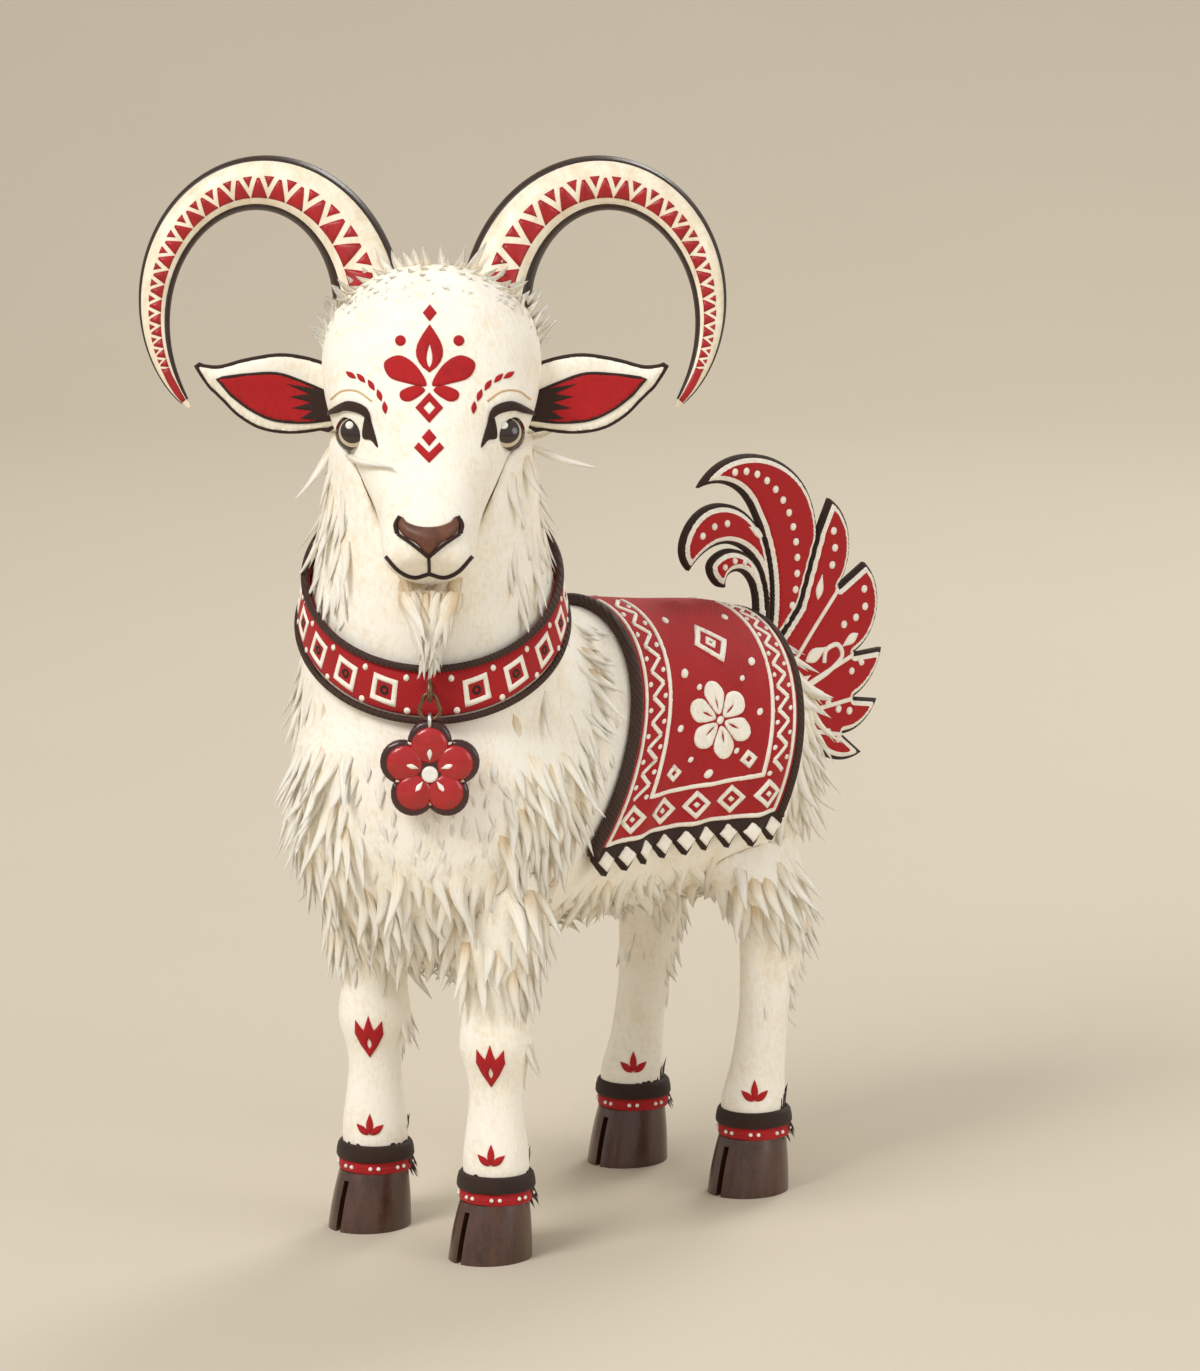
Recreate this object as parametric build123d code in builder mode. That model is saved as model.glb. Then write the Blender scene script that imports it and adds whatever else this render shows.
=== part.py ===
"""A festive goat figure about 320 mm tall: bound straw core, wool coat, woven collar, blanket and pendant.

Frame: +Z up, standing on Z = 0. The goat faces -Y with its head turned towards its left, +X.
Lengths are in millimetres. Pieces are drawn about the middle of the four hooves, then all are
moved together so that the origin is the centre of the footprint of the whole figure.
"""

from build123d import *
import math
import os

# Stance
HOOF_X = 26.0
HOOF_Y = 55.0

# Clearance between neighbouring pieces, and the finer seam between pieces that are sewn together
GAP = 0.2
SEAM = 0.05

# Torso, as ellipses along Y: station, centre height, half width, half height
TORSO = [
    (-97.5, 139.0, 7.0, 9.0),
    (-93.5, 138.5, 18.5, 23.0),
    (-84.0, 137.0, 31.0, 37.0),
    (-68.0, 136.0, 41.0, 47.0),
    (-48.0, 136.5, 42.0, 49.0),
    (-20.0, 138.0, 38.5, 46.0),
    (20.0, 137.5, 36.5, 45.0),
    (52.0, 134.5, 38.0, 43.5),
    (74.0, 133.0, 32.0, 39.0),
    (87.0, 133.0, 20.5, 26.0),
    (92.5, 133.0, 7.5, 9.5),
]
CORE_DEPTH = 9.0
BINDING_STATIONS = (-62.0, -2.0, 56.0)
BINDING_DEPTH = 1.6
TWINE_WIDTH = 6.0

# Neck, as ellipses: height, distance forward of the shoulder point, half width, half depth
SHOULDER_Y = -55.0
NECK = [
    (148.0, -8.0, 41.0, 43.0),
    (174.0, -4.0, 39.0, 41.0),
    (197.0, 0.0, 36.0, 37.5),
    (215.0, 3.0, 33.0, 34.5),
    (244.0, 8.0, 30.0, 31.5),
]
NECK_DOWEL_RADIUS = 5.0
NECK_DOWEL_FOOT = (-7.0, 118.0)
NECK_DOWEL_TOP = (4.0, 262.0)

# Head: the poll and nose tip as (forward, height), with half width and half thickness at shares of that line
HEAD_TURN = 45.0
POLL = (-12.0, 285.0)
NOSE_TIP = (48.0, 211.0)
HEAD = [
    (0.0, 18.0, 13.0),
    (0.09, 27.0, 22.0),
    (0.25, 32.0, 27.0),
    (0.42, 30.0, 25.0),
    (0.56, 25.0, 20.5),
    (0.70, 19.0, 16.5),
    (0.84, 15.0, 14.0),
    (0.95, 12.5, 11.5),
    (1.0, 8.0, 6.5),
]
HEAD_WALL = 7.0

# Forelock, nose and beard, as ellipses: forward, height, half width, half height or half depth
FORELOCK = [
    (-14.0, 279.0, 15.0, 9.0),
    (-2.0, 281.0, 17.0, 10.5),
    (10.0, 276.0, 13.0, 7.5),
]
NOSE = [
    (42.0, 222.0, 7.5, 5.5),
    (55.5, 219.5, 8.2, 5.0),
    (59.0, 219.0, 5.0, 3.0),
]
BEARD = [
    (43.0, 206.0, 10.0, 6.0),
    (44.5, 196.0, 7.5, 4.5),
    (47.5, 181.5, 1.2, 0.8),
]

# Horns: an elliptical arc in the head's own frame
HORN_SIDE = 50.0
HORN_HEIGHT = 278.0
HORN_REACH = 31.5
HORN_RISE = 37.0
HORN_START = 198.0
HORN_END = -48.0
HORN_BASE_RADIUS = 10.8
HORN_TIP_RADIUS = 0.6
HORN_FORWARD = -4.0
HORN_SWEEP = 13.0
HORN_SECTIONS = 13
HORN_TAPER = 0.55
HORN_FLATNESS = 0.86
PEG_RADIUS = 2.5
PEG_FOOT = (-4.0, 20.5, 256.0)
PEG_TOP = (-4.0, 19.6, 281.0)

# Face
EYE_SIDE = 21.5
EYE_FORWARD = 25.0
EYE_HEIGHT = 247.5
EYE_RADIUS = 6.0
EAR_LENGTH = 40.0
EAR_DEPTH = 23.0
EAR_THICKNESS = 4.0
EAR_LIFT = 14.0
EAR_ROOT = (2.0, 29.5, 256.0)
EAR_TUCK = 4.0
EAR_WIDEST = 16.5
LINING_TUCK = 2.0
LINING_LENGTH = 34.0
LINING_HALF_DEPTH = 8.5
LINING_THICKNESS = 1.0

# Collar
COLLAR_FORWARD = 2.0
COLLAR_HEIGHT = 195.5
COLLAR_TILT = 31.0
COLLAR_WIDTH = 15.0
COLLAR_INSET = 0.3
COLLAR_THICKNESS = 2.2
PIPING_WIDTH = 1.6
PIPING_THICKNESS = 3.0

# Hanging hardware, in the head's turned frame
HANG_FORWARD = 48.5
LOOP_HEIGHT = 176.0
LOOP_RADIUS = 2.6
LOOP_WIRE = 0.8
SHANK_FORWARD = 39.2
SHANK_RADIUS = 1.0
LINK_WIDTH = 3.0
LINK_DROP = 7.6
LINK_WIRE = 0.6
LINK_NECK = 1.5
LINK_SHOULDER = 0.6
RING_PLAY = 0.4
BAIL_RADIUS = 1.9
BAIL_WIRE = 0.55
PETAL_RADIUS = 6.3
PETAL_CIRCLE = 8.4
FLOWER_THICKNESS = 3.2
FLOWER_DROP = 23.4
FLOWER_HEART = 6.4
PETALS = 5
BEAD_RADIUS = 2.4
BEAD_HEIGHT = 1.4
BEAD_SEAT = 0.5
EDGE_ROUND = 0.8

# Blanket, as fore and aft edges along Y at the spine and at the hem
BLANKET_SPINE = (5.0, 74.0)
BLANKET_HEM = (-27.0, 53.0)
SPINE_HEIGHT = 184.0
HEM_HEIGHT = 117.0
FRINGE_DROP = 7.0
BLANKET_LIFT = 0.6
BLANKET_THICKNESS = 2.0
BINDING_WIDTH = 3.4
BINDING_THICKNESS = 2.8
EDGE_REACH = 20.0

# Legs
LEG_DOWEL_RADIUS = 3.0
LEG_DOWEL_TOP = 132.0
LEG_DOWEL_FOOT = 6.0
DOWEL_PLAY = 0.1
HOOF_HEIGHT = 22.0
LEG_BOTTOM = 22.2
FORE_LEG = [
    (LEG_BOTTOM, 9.2),
    (33.0, 9.6),
    (45.0, 8.0),
    (55.0, 8.4),
    (64.0, 10.8),
    (74.0, 9.8),
    (88.0, 13.0),
    (104.0, 15.0),
    (122.0, 13.0),
]
# Hind leg: height, shift inwards, shift backwards, half width, half depth
HIND_LEG = [
    (LEG_BOTTOM, 0.0, 0.0, 8.8, 9.0),
    (35.0, 0.0, 0.8, 8.7, 9.0),
    (46.0, 0.0, 3.0, 7.4, 7.9),
    (62.0, 0.0, 6.5, 7.6, 8.4),
    (77.0, 0.0, 8.5, 8.6, 11.0),
    (92.0, 0.5, 4.0, 10.5, 16.0),
    (106.0, 3.0, 0.0, 9.5, 19.0),
    (122.0, 8.0, -2.0, 8.0, 14.0),
]
# Hoof, as ellipses: height, shift forwards, half depth, half width. The cleft is a slot in its front.
HOOF = [
    (0.0, 2.5, 13.2, 11.6),
    (11.0, 1.4, 11.8, 10.9),
    (HOOF_HEIGHT, 0.0, 9.3, 9.2),
]
CLEFT_FORWARD = 11.0
CLEFT_MIDDLE_HEIGHT = 7.0
CLEFT_WIDTH = 2.0
CLEFT_DEPTH = 16.0
CLEFT_HEIGHT = 16.0
BAND_HEIGHT = (17.4, 21.2)
BAND_RADIUS = 10.9
BAND_SEAT_RADIUS = 9.0
BAND_GROOVE_REACH = 15.0
CUFF_HEIGHT = (21.4, 27.0)
CUFF_RADIUS = 12.0
CUFF_BORE = 10.3
CUFF_TAPER = 6.0

# Tail
TAIL_THICKNESS = 5.0
TAIL_PEG_RADIUS = 2.2
TAIL_PEG_FOOT = (66.0, 146.0)
TAIL_PEG_END = (104.0, 160.0)

# Tail plates in side view, as (Y, Z). The curves of a plume start at its tip.
# Each rear lobe is a tip, a point on its round side and a notch.
CREST_OUTER = [(56, 214), (64, 220), (78, 222), (92, 218), (103, 209), (108, 196), (106, 182), (95, 158)]
CREST_INNER = [(56, 214), (67, 214), (75, 210), (81, 202), (86, 190), (86, 162)]
FRONT_OUTER = [(52, 189), (48.5, 197), (55, 206), (67, 208), (78, 203), (87, 190), (92, 166)]
FRONT_INNER = [(52, 189), (58, 193.5), (65, 195.5), (73, 194), (80, 189), (85, 178), (84, 164)]
CURL_OUTER = [(68, 182), (62, 185), (60.5, 189.5), (65, 193), (73, 193), (81, 188), (86, 178), (87, 160)]
CURL_INNER = [(68, 182), (69, 185.5), (74, 186), (79, 182), (81, 175), (80, 160)]
REAR_START = (109, 195)
REAR_LOBES = [
    ((114, 204), (123, 190), (118, 176)),
    ((130, 182), (136, 168), (125, 154)),
    ((138, 154), (134, 146), (125, 140)),
    ((136, 138), (129, 131), (120, 129)),
    ((129, 122), (118, 121), (106, 129)),
]
REAR_BASE = [(88, 136), (84, 156), (100, 172)]

turn = math.radians(HEAD_TURN)
FACING = Vector(math.sin(turn), -math.cos(turn), 0)
SIDE = Vector(math.cos(turn), math.sin(turn), 0)
UP = Vector(0, 0, 1)
SHOULDER = Vector(0, SHOULDER_Y, 0)

# Sizes of cutting blocks, larger than what they cut
SLAB_REACH = 400.0
ZONE_REACH = 90.0

pieces = []


def keep(block, label):
    """Names a finished piece and adds it to the figure."""
    block.part.label = label
    pieces.append(block.part)


def turned(forward, side, height):
    """A point in the frame of the turned head and collar."""
    return SHOULDER + FACING * forward + SIDE * side + UP * height


def ellipse_loft(stations):
    """A closed form through ellipses, each given as its plane and two radii."""
    with BuildPart() as form:
        for plane, first_radius, second_radius in stations:
            with BuildSketch(plane):
                Ellipse(first_radius, second_radius)
        loft()
    return form.part


def torso_form(grow):
    """The torso's outside, grown outwards by a length, or shrunk where it is negative."""
    middle = (TORSO[0][0] + TORSO[-1][0]) / 2
    half = (TORSO[-1][0] - TORSO[0][0]) / 2
    stations = []
    for y, height, half_width, half_height in TORSO:
        stretch = 1 + grow / half
        plane = Plane(origin=(0, middle + (y - middle) * stretch, height), x_dir=(0, 0, 1), z_dir=(0, 1, 0))
        scale = 1 + grow / TORSO[4][2]
        stations.append((plane, half_height * scale, half_width * scale))
    return ellipse_loft(stations)


def neck_form(grow):
    """The neck's outside, grown sideways by a length."""
    stations = []
    for height, forward, half_width, half_depth in NECK:
        plane = Plane(origin=turned(forward, 0, height), x_dir=FACING, z_dir=UP)
        stations.append((plane, half_depth + grow, half_width + grow))
    return ellipse_loft(stations)


def head_point(share):
    """The point of the head's middle line at a share of the way from poll to nose."""
    forward = POLL[0] + (NOSE_TIP[0] - POLL[0]) * share
    height = POLL[1] + (NOSE_TIP[1] - POLL[1]) * share
    return turned(forward, 0, height)


def head_form(grow):
    """The head's outside, grown outwards by a length."""
    run = head_point(1) - head_point(0)
    reach = 1 + 2 * grow / run.length
    stations = []
    for share, half_width, half_thickness in HEAD:
        centre = head_point(0.5 + (share - 0.5) * reach)
        plane = Plane(origin=centre, x_dir=SIDE, z_dir=run)
        scale = 1 + grow / HEAD[2][1]
        stations.append((plane, half_width * scale, half_thickness * scale))
    return ellipse_loft(stations)


def horn_centre(share, side):
    """The horn's middle line, from its root at 0 to its tip at 1. Side is 1 for left and -1 for right."""
    angle = math.radians(HORN_START + (HORN_END - HORN_START) * share)
    lateral = HORN_SIDE + HORN_REACH * math.cos(angle)
    forward = HORN_FORWARD - HORN_SWEEP * math.sin(math.pi * share)
    return turned(forward, side * lateral, HORN_HEIGHT + HORN_RISE * math.sin(angle))


def horn_form(side):
    """A curled horn that tapers to a point."""
    stations = []
    step = 0.001
    for index in range(HORN_SECTIONS):
        share = index / (HORN_SECTIONS - 1)
        before = horn_centre(max(share - step, 0), side)
        after = horn_centre(min(share + step, 1), side)
        radius = max(HORN_BASE_RADIUS * (1 - share) ** HORN_TAPER, HORN_TIP_RADIUS)
        plane = Plane(origin=horn_centre(share, side), x_dir=FACING, z_dir=after - before)
        stations.append((plane, radius * HORN_FLATNESS, radius))
    return ellipse_loft(stations)


def slab(plane, low, high, reach=SLAB_REACH):
    """A wide flat block between two offsets of a plane."""
    with BuildPart() as block:
        with BuildSketch(plane.offset(low)):
            Rectangle(reach, reach)
        extrude(amount=high - low)
    return block.part


def round_bar(start, end, radius):
    """A straight round bar between two points."""
    with BuildPart() as bar:
        with BuildSketch(Plane(origin=start, z_dir=end - start)):
            Circle(radius)
        extrude(amount=(end - start).length)
    return bar.part


def ball(centre, radius):
    """A sphere about a point."""
    with BuildPart() as sphere:
        with Locations(centre):
            Sphere(radius)
    return sphere.part


def ring(centre, radius, wire):
    """A round wire ring that stands upright, with its axis sideways of the turned head."""
    with BuildPart() as hoop:
        with BuildSketch(Plane(origin=centre + UP * radius, x_dir=SIDE, z_dir=FACING)):
            Circle(wire)
        revolve(axis=Axis(centre, SIDE))
    return hoop.part


def side_plate(outline, half_thickness):
    """A flat plate in the plane X = 0, from an outline of (Y, Z) points joined by straight lines."""
    with BuildPart() as plate:
        with BuildSketch(Plane.YZ):
            with BuildLine():
                Polyline(*outline, close=True)
            make_face()
        extrude(amount=half_thickness, both=True)
    return plate.part


def plume_plate(outer, inner, half_thickness):
    """A plate in the plane X = 0 between two curves of (Y, Z) points that both start at its tip."""
    with BuildPart() as plate:
        with BuildSketch(Plane.YZ):
            with BuildLine():
                outer_edge = Spline(*outer)
                inner_edge = Spline(*inner)
                Line(outer_edge @ 1, inner_edge @ 1)
            make_face()
        extrude(amount=half_thickness, both=True)
    return plate.part


def lobed_plate(start, lobes, base, half_thickness):
    """A plate in the plane X = 0 with pointed lobes, each a tip, a point on its round side and a notch."""
    with BuildPart() as plate:
        with BuildSketch(Plane.YZ):
            with BuildLine():
                here = start
                for tip, side_point, notch in lobes:
                    Line(here, tip)
                    ThreePointArc(tip, side_point, notch)
                    here = notch
                Polyline(here, *base, start)
            make_face()
        extrude(amount=half_thickness, both=True)
    return plate.part


# ---------------------------------------------------------------- shared forms
torso = torso_form(0)
neck = neck_form(0)
head = head_form(0)
torso_clear = torso_form(GAP)
head_hollow = head_form(-HEAD_WALL)
horn_forms = {side: horn_form(side) for side in (1, -1)}

neck_dowel_foot = turned(NECK_DOWEL_FOOT[0], 0, NECK_DOWEL_FOOT[1])
neck_dowel_top = turned(NECK_DOWEL_TOP[0], 0, NECK_DOWEL_TOP[1])
tail_peg_foot = Vector(0, *TAIL_PEG_FOOT)
tail_peg_end = Vector(0, *TAIL_PEG_END)

LEGS = {
    "front_left": (HOOF_X, -HOOF_Y),
    "front_right": (-HOOF_X, -HOOF_Y),
    "hind_left": (HOOF_X, HOOF_Y),
    "hind_right": (-HOOF_X, HOOF_Y),
}

# ---------------------------------------------------------------- torso
def leg_dowel_way(leg_x, leg_y):
    """The hole for a leg's dowel."""
    foot = Vector(leg_x, leg_y, LEG_DOWEL_FOOT - GAP)
    return round_bar(foot, Vector(leg_x, leg_y, LEG_DOWEL_TOP + GAP), LEG_DOWEL_RADIUS + DOWEL_PLAY)


with BuildPart() as dowel_ways:
    for leg_x, leg_y in LEGS.values():
        add(leg_dowel_way(leg_x, leg_y))
    add(round_bar(neck_dowel_foot - UP * GAP, neck_dowel_top + UP * GAP, NECK_DOWEL_RADIUS + DOWEL_PLAY))
    add(round_bar(tail_peg_foot, tail_peg_end, TAIL_PEG_RADIUS + DOWEL_PLAY))

with BuildPart() as twine_zone:
    for station in BINDING_STATIONS:
        add(slab(Plane.XZ.offset(-station), -TWINE_WIDTH / 2, TWINE_WIDTH / 2))

with BuildPart() as core_bindings:
    add(torso_form(-CORE_DEPTH))
    add(torso_form(-CORE_DEPTH - BINDING_DEPTH), mode=Mode.SUBTRACT)
    add(twine_zone.part, mode=Mode.INTERSECT)
    add(dowel_ways.part, mode=Mode.SUBTRACT)
keep(core_bindings, "core_bindings")

with BuildPart() as straw_core:
    add(torso_form(-CORE_DEPTH))
    add(core_bindings.part, mode=Mode.SUBTRACT)
    add(dowel_ways.part, mode=Mode.SUBTRACT)
keep(straw_core, "straw_core")

with BuildPart() as body_fleece:
    add(torso)
    add(torso_form(-CORE_DEPTH + GAP), mode=Mode.SUBTRACT)
    add(dowel_ways.part, mode=Mode.SUBTRACT)
keep(body_fleece, "body_fleece")

with BuildPart() as neck_dowel:
    add(round_bar(neck_dowel_foot, neck_dowel_top, NECK_DOWEL_RADIUS))
keep(neck_dowel, "neck_dowel")

with BuildPart() as neck_fleece:
    add(neck)
    add(torso, mode=Mode.SUBTRACT)
    add(head, mode=Mode.SUBTRACT)
    add(dowel_ways.part, mode=Mode.SUBTRACT)
keep(neck_fleece, "neck_fleece")

# ---------------------------------------------------------------- blanket
spine_y = BLANKET_SPINE
hem_y = BLANKET_HEM
drop = SPINE_HEIGHT - HEM_HEIGHT
front_lean = (spine_y[0] - hem_y[0]) / drop
rear_lean = (spine_y[1] - hem_y[1]) / drop


def blanket_zone(low, high, front_inset, rear_inset):
    """A block that covers the blanket's side view between two heights, with its edges moved inwards."""
    corners = [
        (hem_y[0] + front_lean * (low - HEM_HEIGHT) + front_inset, low),
        (hem_y[1] + rear_lean * (low - HEM_HEIGHT) - rear_inset, low),
        (hem_y[1] + rear_lean * (high - HEM_HEIGHT) - rear_inset, high),
        (hem_y[0] + front_lean * (high - HEM_HEIGHT) + front_inset, high),
    ]
    return side_plate(corners, ZONE_REACH)


def cloth_shell(lift, thickness):
    """A layer that lies over the torso."""
    with BuildPart() as layer:
        add(torso_form(lift + thickness))
        add(torso_form(lift), mode=Mode.SUBTRACT)
    return layer.part


cloth_top = SPINE_HEIGHT + EDGE_REACH
with BuildPart() as blanket:
    add(cloth_shell(BLANKET_LIFT, BLANKET_THICKNESS))
    add(blanket_zone(HEM_HEIGHT, cloth_top, BINDING_WIDTH + SEAM, BINDING_WIDTH + SEAM), mode=Mode.INTERSECT)
keep(blanket, "blanket")

with BuildPart() as blanket_binding:
    add(cloth_shell(BLANKET_LIFT, BINDING_THICKNESS))
    add(blanket_zone(HEM_HEIGHT, cloth_top, 0, 0), mode=Mode.INTERSECT)
    cloth_inside = blanket_zone(HEM_HEIGHT - BINDING_WIDTH, cloth_top + EDGE_REACH, BINDING_WIDTH, BINDING_WIDTH)
    add(cloth_inside, mode=Mode.SUBTRACT)
keep(blanket_binding, "blanket_binding")

with BuildPart() as blanket_fringe:
    add(cloth_shell(BLANKET_LIFT, BINDING_THICKNESS))
    add(blanket_zone(HEM_HEIGHT - FRINGE_DROP, HEM_HEIGHT - SEAM, 0, 0), mode=Mode.INTERSECT)
keep(blanket_fringe, "blanket_fringe")

# ---------------------------------------------------------------- legs
for leg_name, (leg_x, leg_y) in LEGS.items():
    outward = math.copysign(1, leg_x)
    dowel_way = leg_dowel_way(leg_x, leg_y)

    with BuildPart() as leg_dowel:
        add(round_bar(Vector(leg_x, leg_y, LEG_DOWEL_FOOT), Vector(leg_x, leg_y, LEG_DOWEL_TOP), LEG_DOWEL_RADIUS))
    keep(leg_dowel, f"{leg_name}_leg_dowel")

    with BuildPart() as leg_fleece:
        if leg_name.startswith("front"):
            with BuildSketch(Plane(origin=(leg_x, leg_y, 0), x_dir=(1, 0, 0), z_dir=(0, -1, 0))):
                with BuildLine():
                    side_line = Spline(*[(radius, height) for height, radius in FORE_LEG])
                    Line(side_line @ 1, (0, FORE_LEG[-1][0]))
                    Line((0, FORE_LEG[-1][0]), (0, LEG_BOTTOM))
                    Line((0, LEG_BOTTOM), side_line @ 0)
                make_face()
            revolve(axis=Axis((leg_x, leg_y, 0), (0, 0, 1)))
        else:
            for height, inwards, backwards, half_width, half_depth in HIND_LEG:
                centre = (leg_x - outward * inwards, leg_y + backwards, height)
                with BuildSketch(Plane(origin=centre, x_dir=(0, 1, 0), z_dir=(0, 0, 1))):
                    Ellipse(half_depth, half_width)
            loft()
        add(torso, mode=Mode.SUBTRACT)
        add(dowel_way, mode=Mode.SUBTRACT)
    keep(leg_fleece, f"{leg_name}_leg_fleece")

    with BuildPart() as hoof:
        for height, forwards, half_depth, half_width in HOOF:
            centre = (leg_x, leg_y - forwards, height)
            with BuildSketch(Plane(origin=centre, x_dir=(0, 1, 0), z_dir=(0, 0, 1))):
                Ellipse(half_depth, half_width)
        loft()
        with Locations((leg_x, leg_y - CLEFT_FORWARD, CLEFT_MIDDLE_HEIGHT)):
            Box(CLEFT_WIDTH, CLEFT_DEPTH, CLEFT_HEIGHT, mode=Mode.SUBTRACT)
        add(dowel_way, mode=Mode.SUBTRACT)
        with BuildSketch(Plane.XY.offset(BAND_HEIGHT[0])):
            with Locations((leg_x, leg_y)):
                Circle(BAND_GROOVE_REACH)
                Circle(BAND_SEAT_RADIUS, mode=Mode.SUBTRACT)
        extrude(amount=BAND_HEIGHT[1] - BAND_HEIGHT[0], mode=Mode.SUBTRACT)
    keep(hoof, f"{leg_name}_hoof")

    with BuildPart() as hoof_band:
        with BuildSketch(Plane.XY.offset(BAND_HEIGHT[0] + SEAM)):
            with Locations((leg_x, leg_y)):
                Circle(BAND_RADIUS)
                Circle(BAND_SEAT_RADIUS + SEAM, mode=Mode.SUBTRACT)
        extrude(amount=BAND_HEIGHT[1] - BAND_HEIGHT[0] - 2 * SEAM)
    keep(hoof_band, f"{leg_name}_hoof_band")

    with BuildPart() as hoof_cuff:
        with BuildSketch(Plane.XY.offset(CUFF_HEIGHT[0])):
            with Locations((leg_x, leg_y)):
                Circle(CUFF_RADIUS)
                Circle(CUFF_BORE, mode=Mode.SUBTRACT)
        extrude(amount=CUFF_HEIGHT[1] - CUFF_HEIGHT[0], taper=CUFF_TAPER)
    keep(hoof_cuff, f"{leg_name}_hoof_cuff")

# ---------------------------------------------------------------- head
eye_points = {side: turned(EYE_FORWARD, side * EYE_SIDE, EYE_HEIGHT) for side in (1, -1)}
peg_feet = {side: turned(PEG_FOOT[0], side * PEG_FOOT[1], PEG_FOOT[2]) for side in (1, -1)}
peg_tops = {side: turned(PEG_TOP[0], side * PEG_TOP[1], PEG_TOP[2]) for side in (1, -1)}

with BuildPart() as head_sockets:
    for side in (1, -1):
        add(round_bar(peg_feet[side] - UP * GAP / 2, peg_tops[side] + UP * GAP, PEG_RADIUS + DOWEL_PLAY))

with BuildPart() as head_core:
    add(head_form(-HEAD_WALL - GAP))
    add(head_sockets.part, mode=Mode.SUBTRACT)
    add(dowel_ways.part, mode=Mode.SUBTRACT)
keep(head_core, "head_core")

with BuildPart() as head_fleece:
    add(head)
    add(head_hollow, mode=Mode.SUBTRACT)
    add(head_sockets.part, mode=Mode.SUBTRACT)
    add(dowel_ways.part, mode=Mode.SUBTRACT)
keep(head_fleece, "head_fleece")

with BuildPart() as forelock:
    for forward, height, half_width, half_height in FORELOCK:
        with BuildSketch(Plane(origin=turned(forward, 0, height), x_dir=SIDE, z_dir=FACING)):
            Ellipse(half_width, half_height)
    loft()
    add(head, mode=Mode.SUBTRACT)
    for horn_solid in horn_forms.values():
        add(horn_solid, mode=Mode.SUBTRACT)
keep(forelock, "forelock")

with BuildPart() as nose_pad:
    for forward, height, half_width, half_height in NOSE:
        with BuildSketch(Plane(origin=turned(forward, 0, height), x_dir=SIDE, z_dir=FACING)):
            Ellipse(half_width, half_height)
    loft()
    add(head, mode=Mode.SUBTRACT)
keep(nose_pad, "nose_pad")

with BuildPart() as beard:
    for forward, height, half_width, half_depth in BEARD:
        with BuildSketch(Plane(origin=turned(forward, 0, height), x_dir=SIDE, z_dir=-UP)):
            Ellipse(half_width, half_depth)
    loft()
    add(head, mode=Mode.SUBTRACT)
    add(neck_form(GAP), mode=Mode.SUBTRACT)
keep(beard, "beard")

for side, side_name in ((1, "left"), (-1, "right")):
    with BuildPart() as horn_peg:
        add(round_bar(peg_feet[side], peg_tops[side], PEG_RADIUS))
    keep(horn_peg, f"{side_name}_horn_peg")

    with BuildPart() as horn:
        add(horn_forms[side])
        add(head, mode=Mode.SUBTRACT)
        add(head_sockets.part, mode=Mode.SUBTRACT)
    keep(horn, f"{side_name}_horn")

    with BuildPart() as eye:
        add(ball(eye_points[side], EYE_RADIUS))
        add(head, mode=Mode.SUBTRACT)
        add(neck_form(GAP), mode=Mode.SUBTRACT)
    keep(eye, f"{side_name}_eye")

    ear_reach = SIDE * side * math.cos(math.radians(EAR_LIFT)) + UP * math.sin(math.radians(EAR_LIFT))
    ear_root = turned(EAR_ROOT[0], side * EAR_ROOT[1], EAR_ROOT[2])
    ear_plane = Plane(origin=ear_root, x_dir=ear_reach, z_dir=FACING)
    with BuildPart() as ear:
        with BuildSketch(ear_plane):
            with BuildLine():
                ThreePointArc((-EAR_TUCK, 0), (EAR_WIDEST, EAR_DEPTH / 2), (EAR_LENGTH, 0))
                ThreePointArc((EAR_LENGTH, 0), (EAR_WIDEST, -EAR_DEPTH / 2), (-EAR_TUCK, 0))
            make_face()
        extrude(amount=EAR_THICKNESS / 2, both=True)
        add(head, mode=Mode.SUBTRACT)
    keep(ear, f"{side_name}_ear")

    with BuildPart() as ear_lining:
        with BuildSketch(ear_plane.offset(EAR_THICKNESS / 2 + SEAM)):
            with BuildLine():
                ThreePointArc((-LINING_TUCK, 0), (EAR_WIDEST, LINING_HALF_DEPTH), (LINING_LENGTH, 0))
                ThreePointArc((LINING_LENGTH, 0), (EAR_WIDEST, -LINING_HALF_DEPTH), (-LINING_TUCK, 0))
            make_face()
        extrude(amount=LINING_THICKNESS)
        add(head, mode=Mode.SUBTRACT)
    keep(ear_lining, f"{side_name}_ear_lining")

# ---------------------------------------------------------------- collar
tilt = math.radians(COLLAR_TILT)
collar_normal = FACING * math.sin(tilt) + UP * math.cos(tilt)
collar_plane = Plane(origin=turned(COLLAR_FORWARD, 0, COLLAR_HEIGHT), x_dir=SIDE, z_dir=collar_normal)
loop_centre = turned(HANG_FORWARD, 0, LOOP_HEIGHT)

with BuildPart() as collar_loop:
    add(ring(loop_centre, LOOP_RADIUS, LOOP_WIRE))
    shank_end = turned(HANG_FORWARD - LOOP_RADIUS - GAP / 2, 0, LOOP_HEIGHT)
    add(round_bar(turned(SHANK_FORWARD, 0, LOOP_HEIGHT), shank_end, SHANK_RADIUS))
keep(collar_loop, "collar_loop")

with BuildPart() as collar:
    add(neck_form(COLLAR_INSET + COLLAR_THICKNESS))
    add(neck_form(COLLAR_INSET), mode=Mode.SUBTRACT)
    add(slab(collar_plane, -COLLAR_WIDTH / 2, COLLAR_WIDTH / 2), mode=Mode.INTERSECT)
    add(torso_clear, mode=Mode.SUBTRACT)
    add(collar_loop.part, mode=Mode.SUBTRACT)
keep(collar, "collar")

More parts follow.
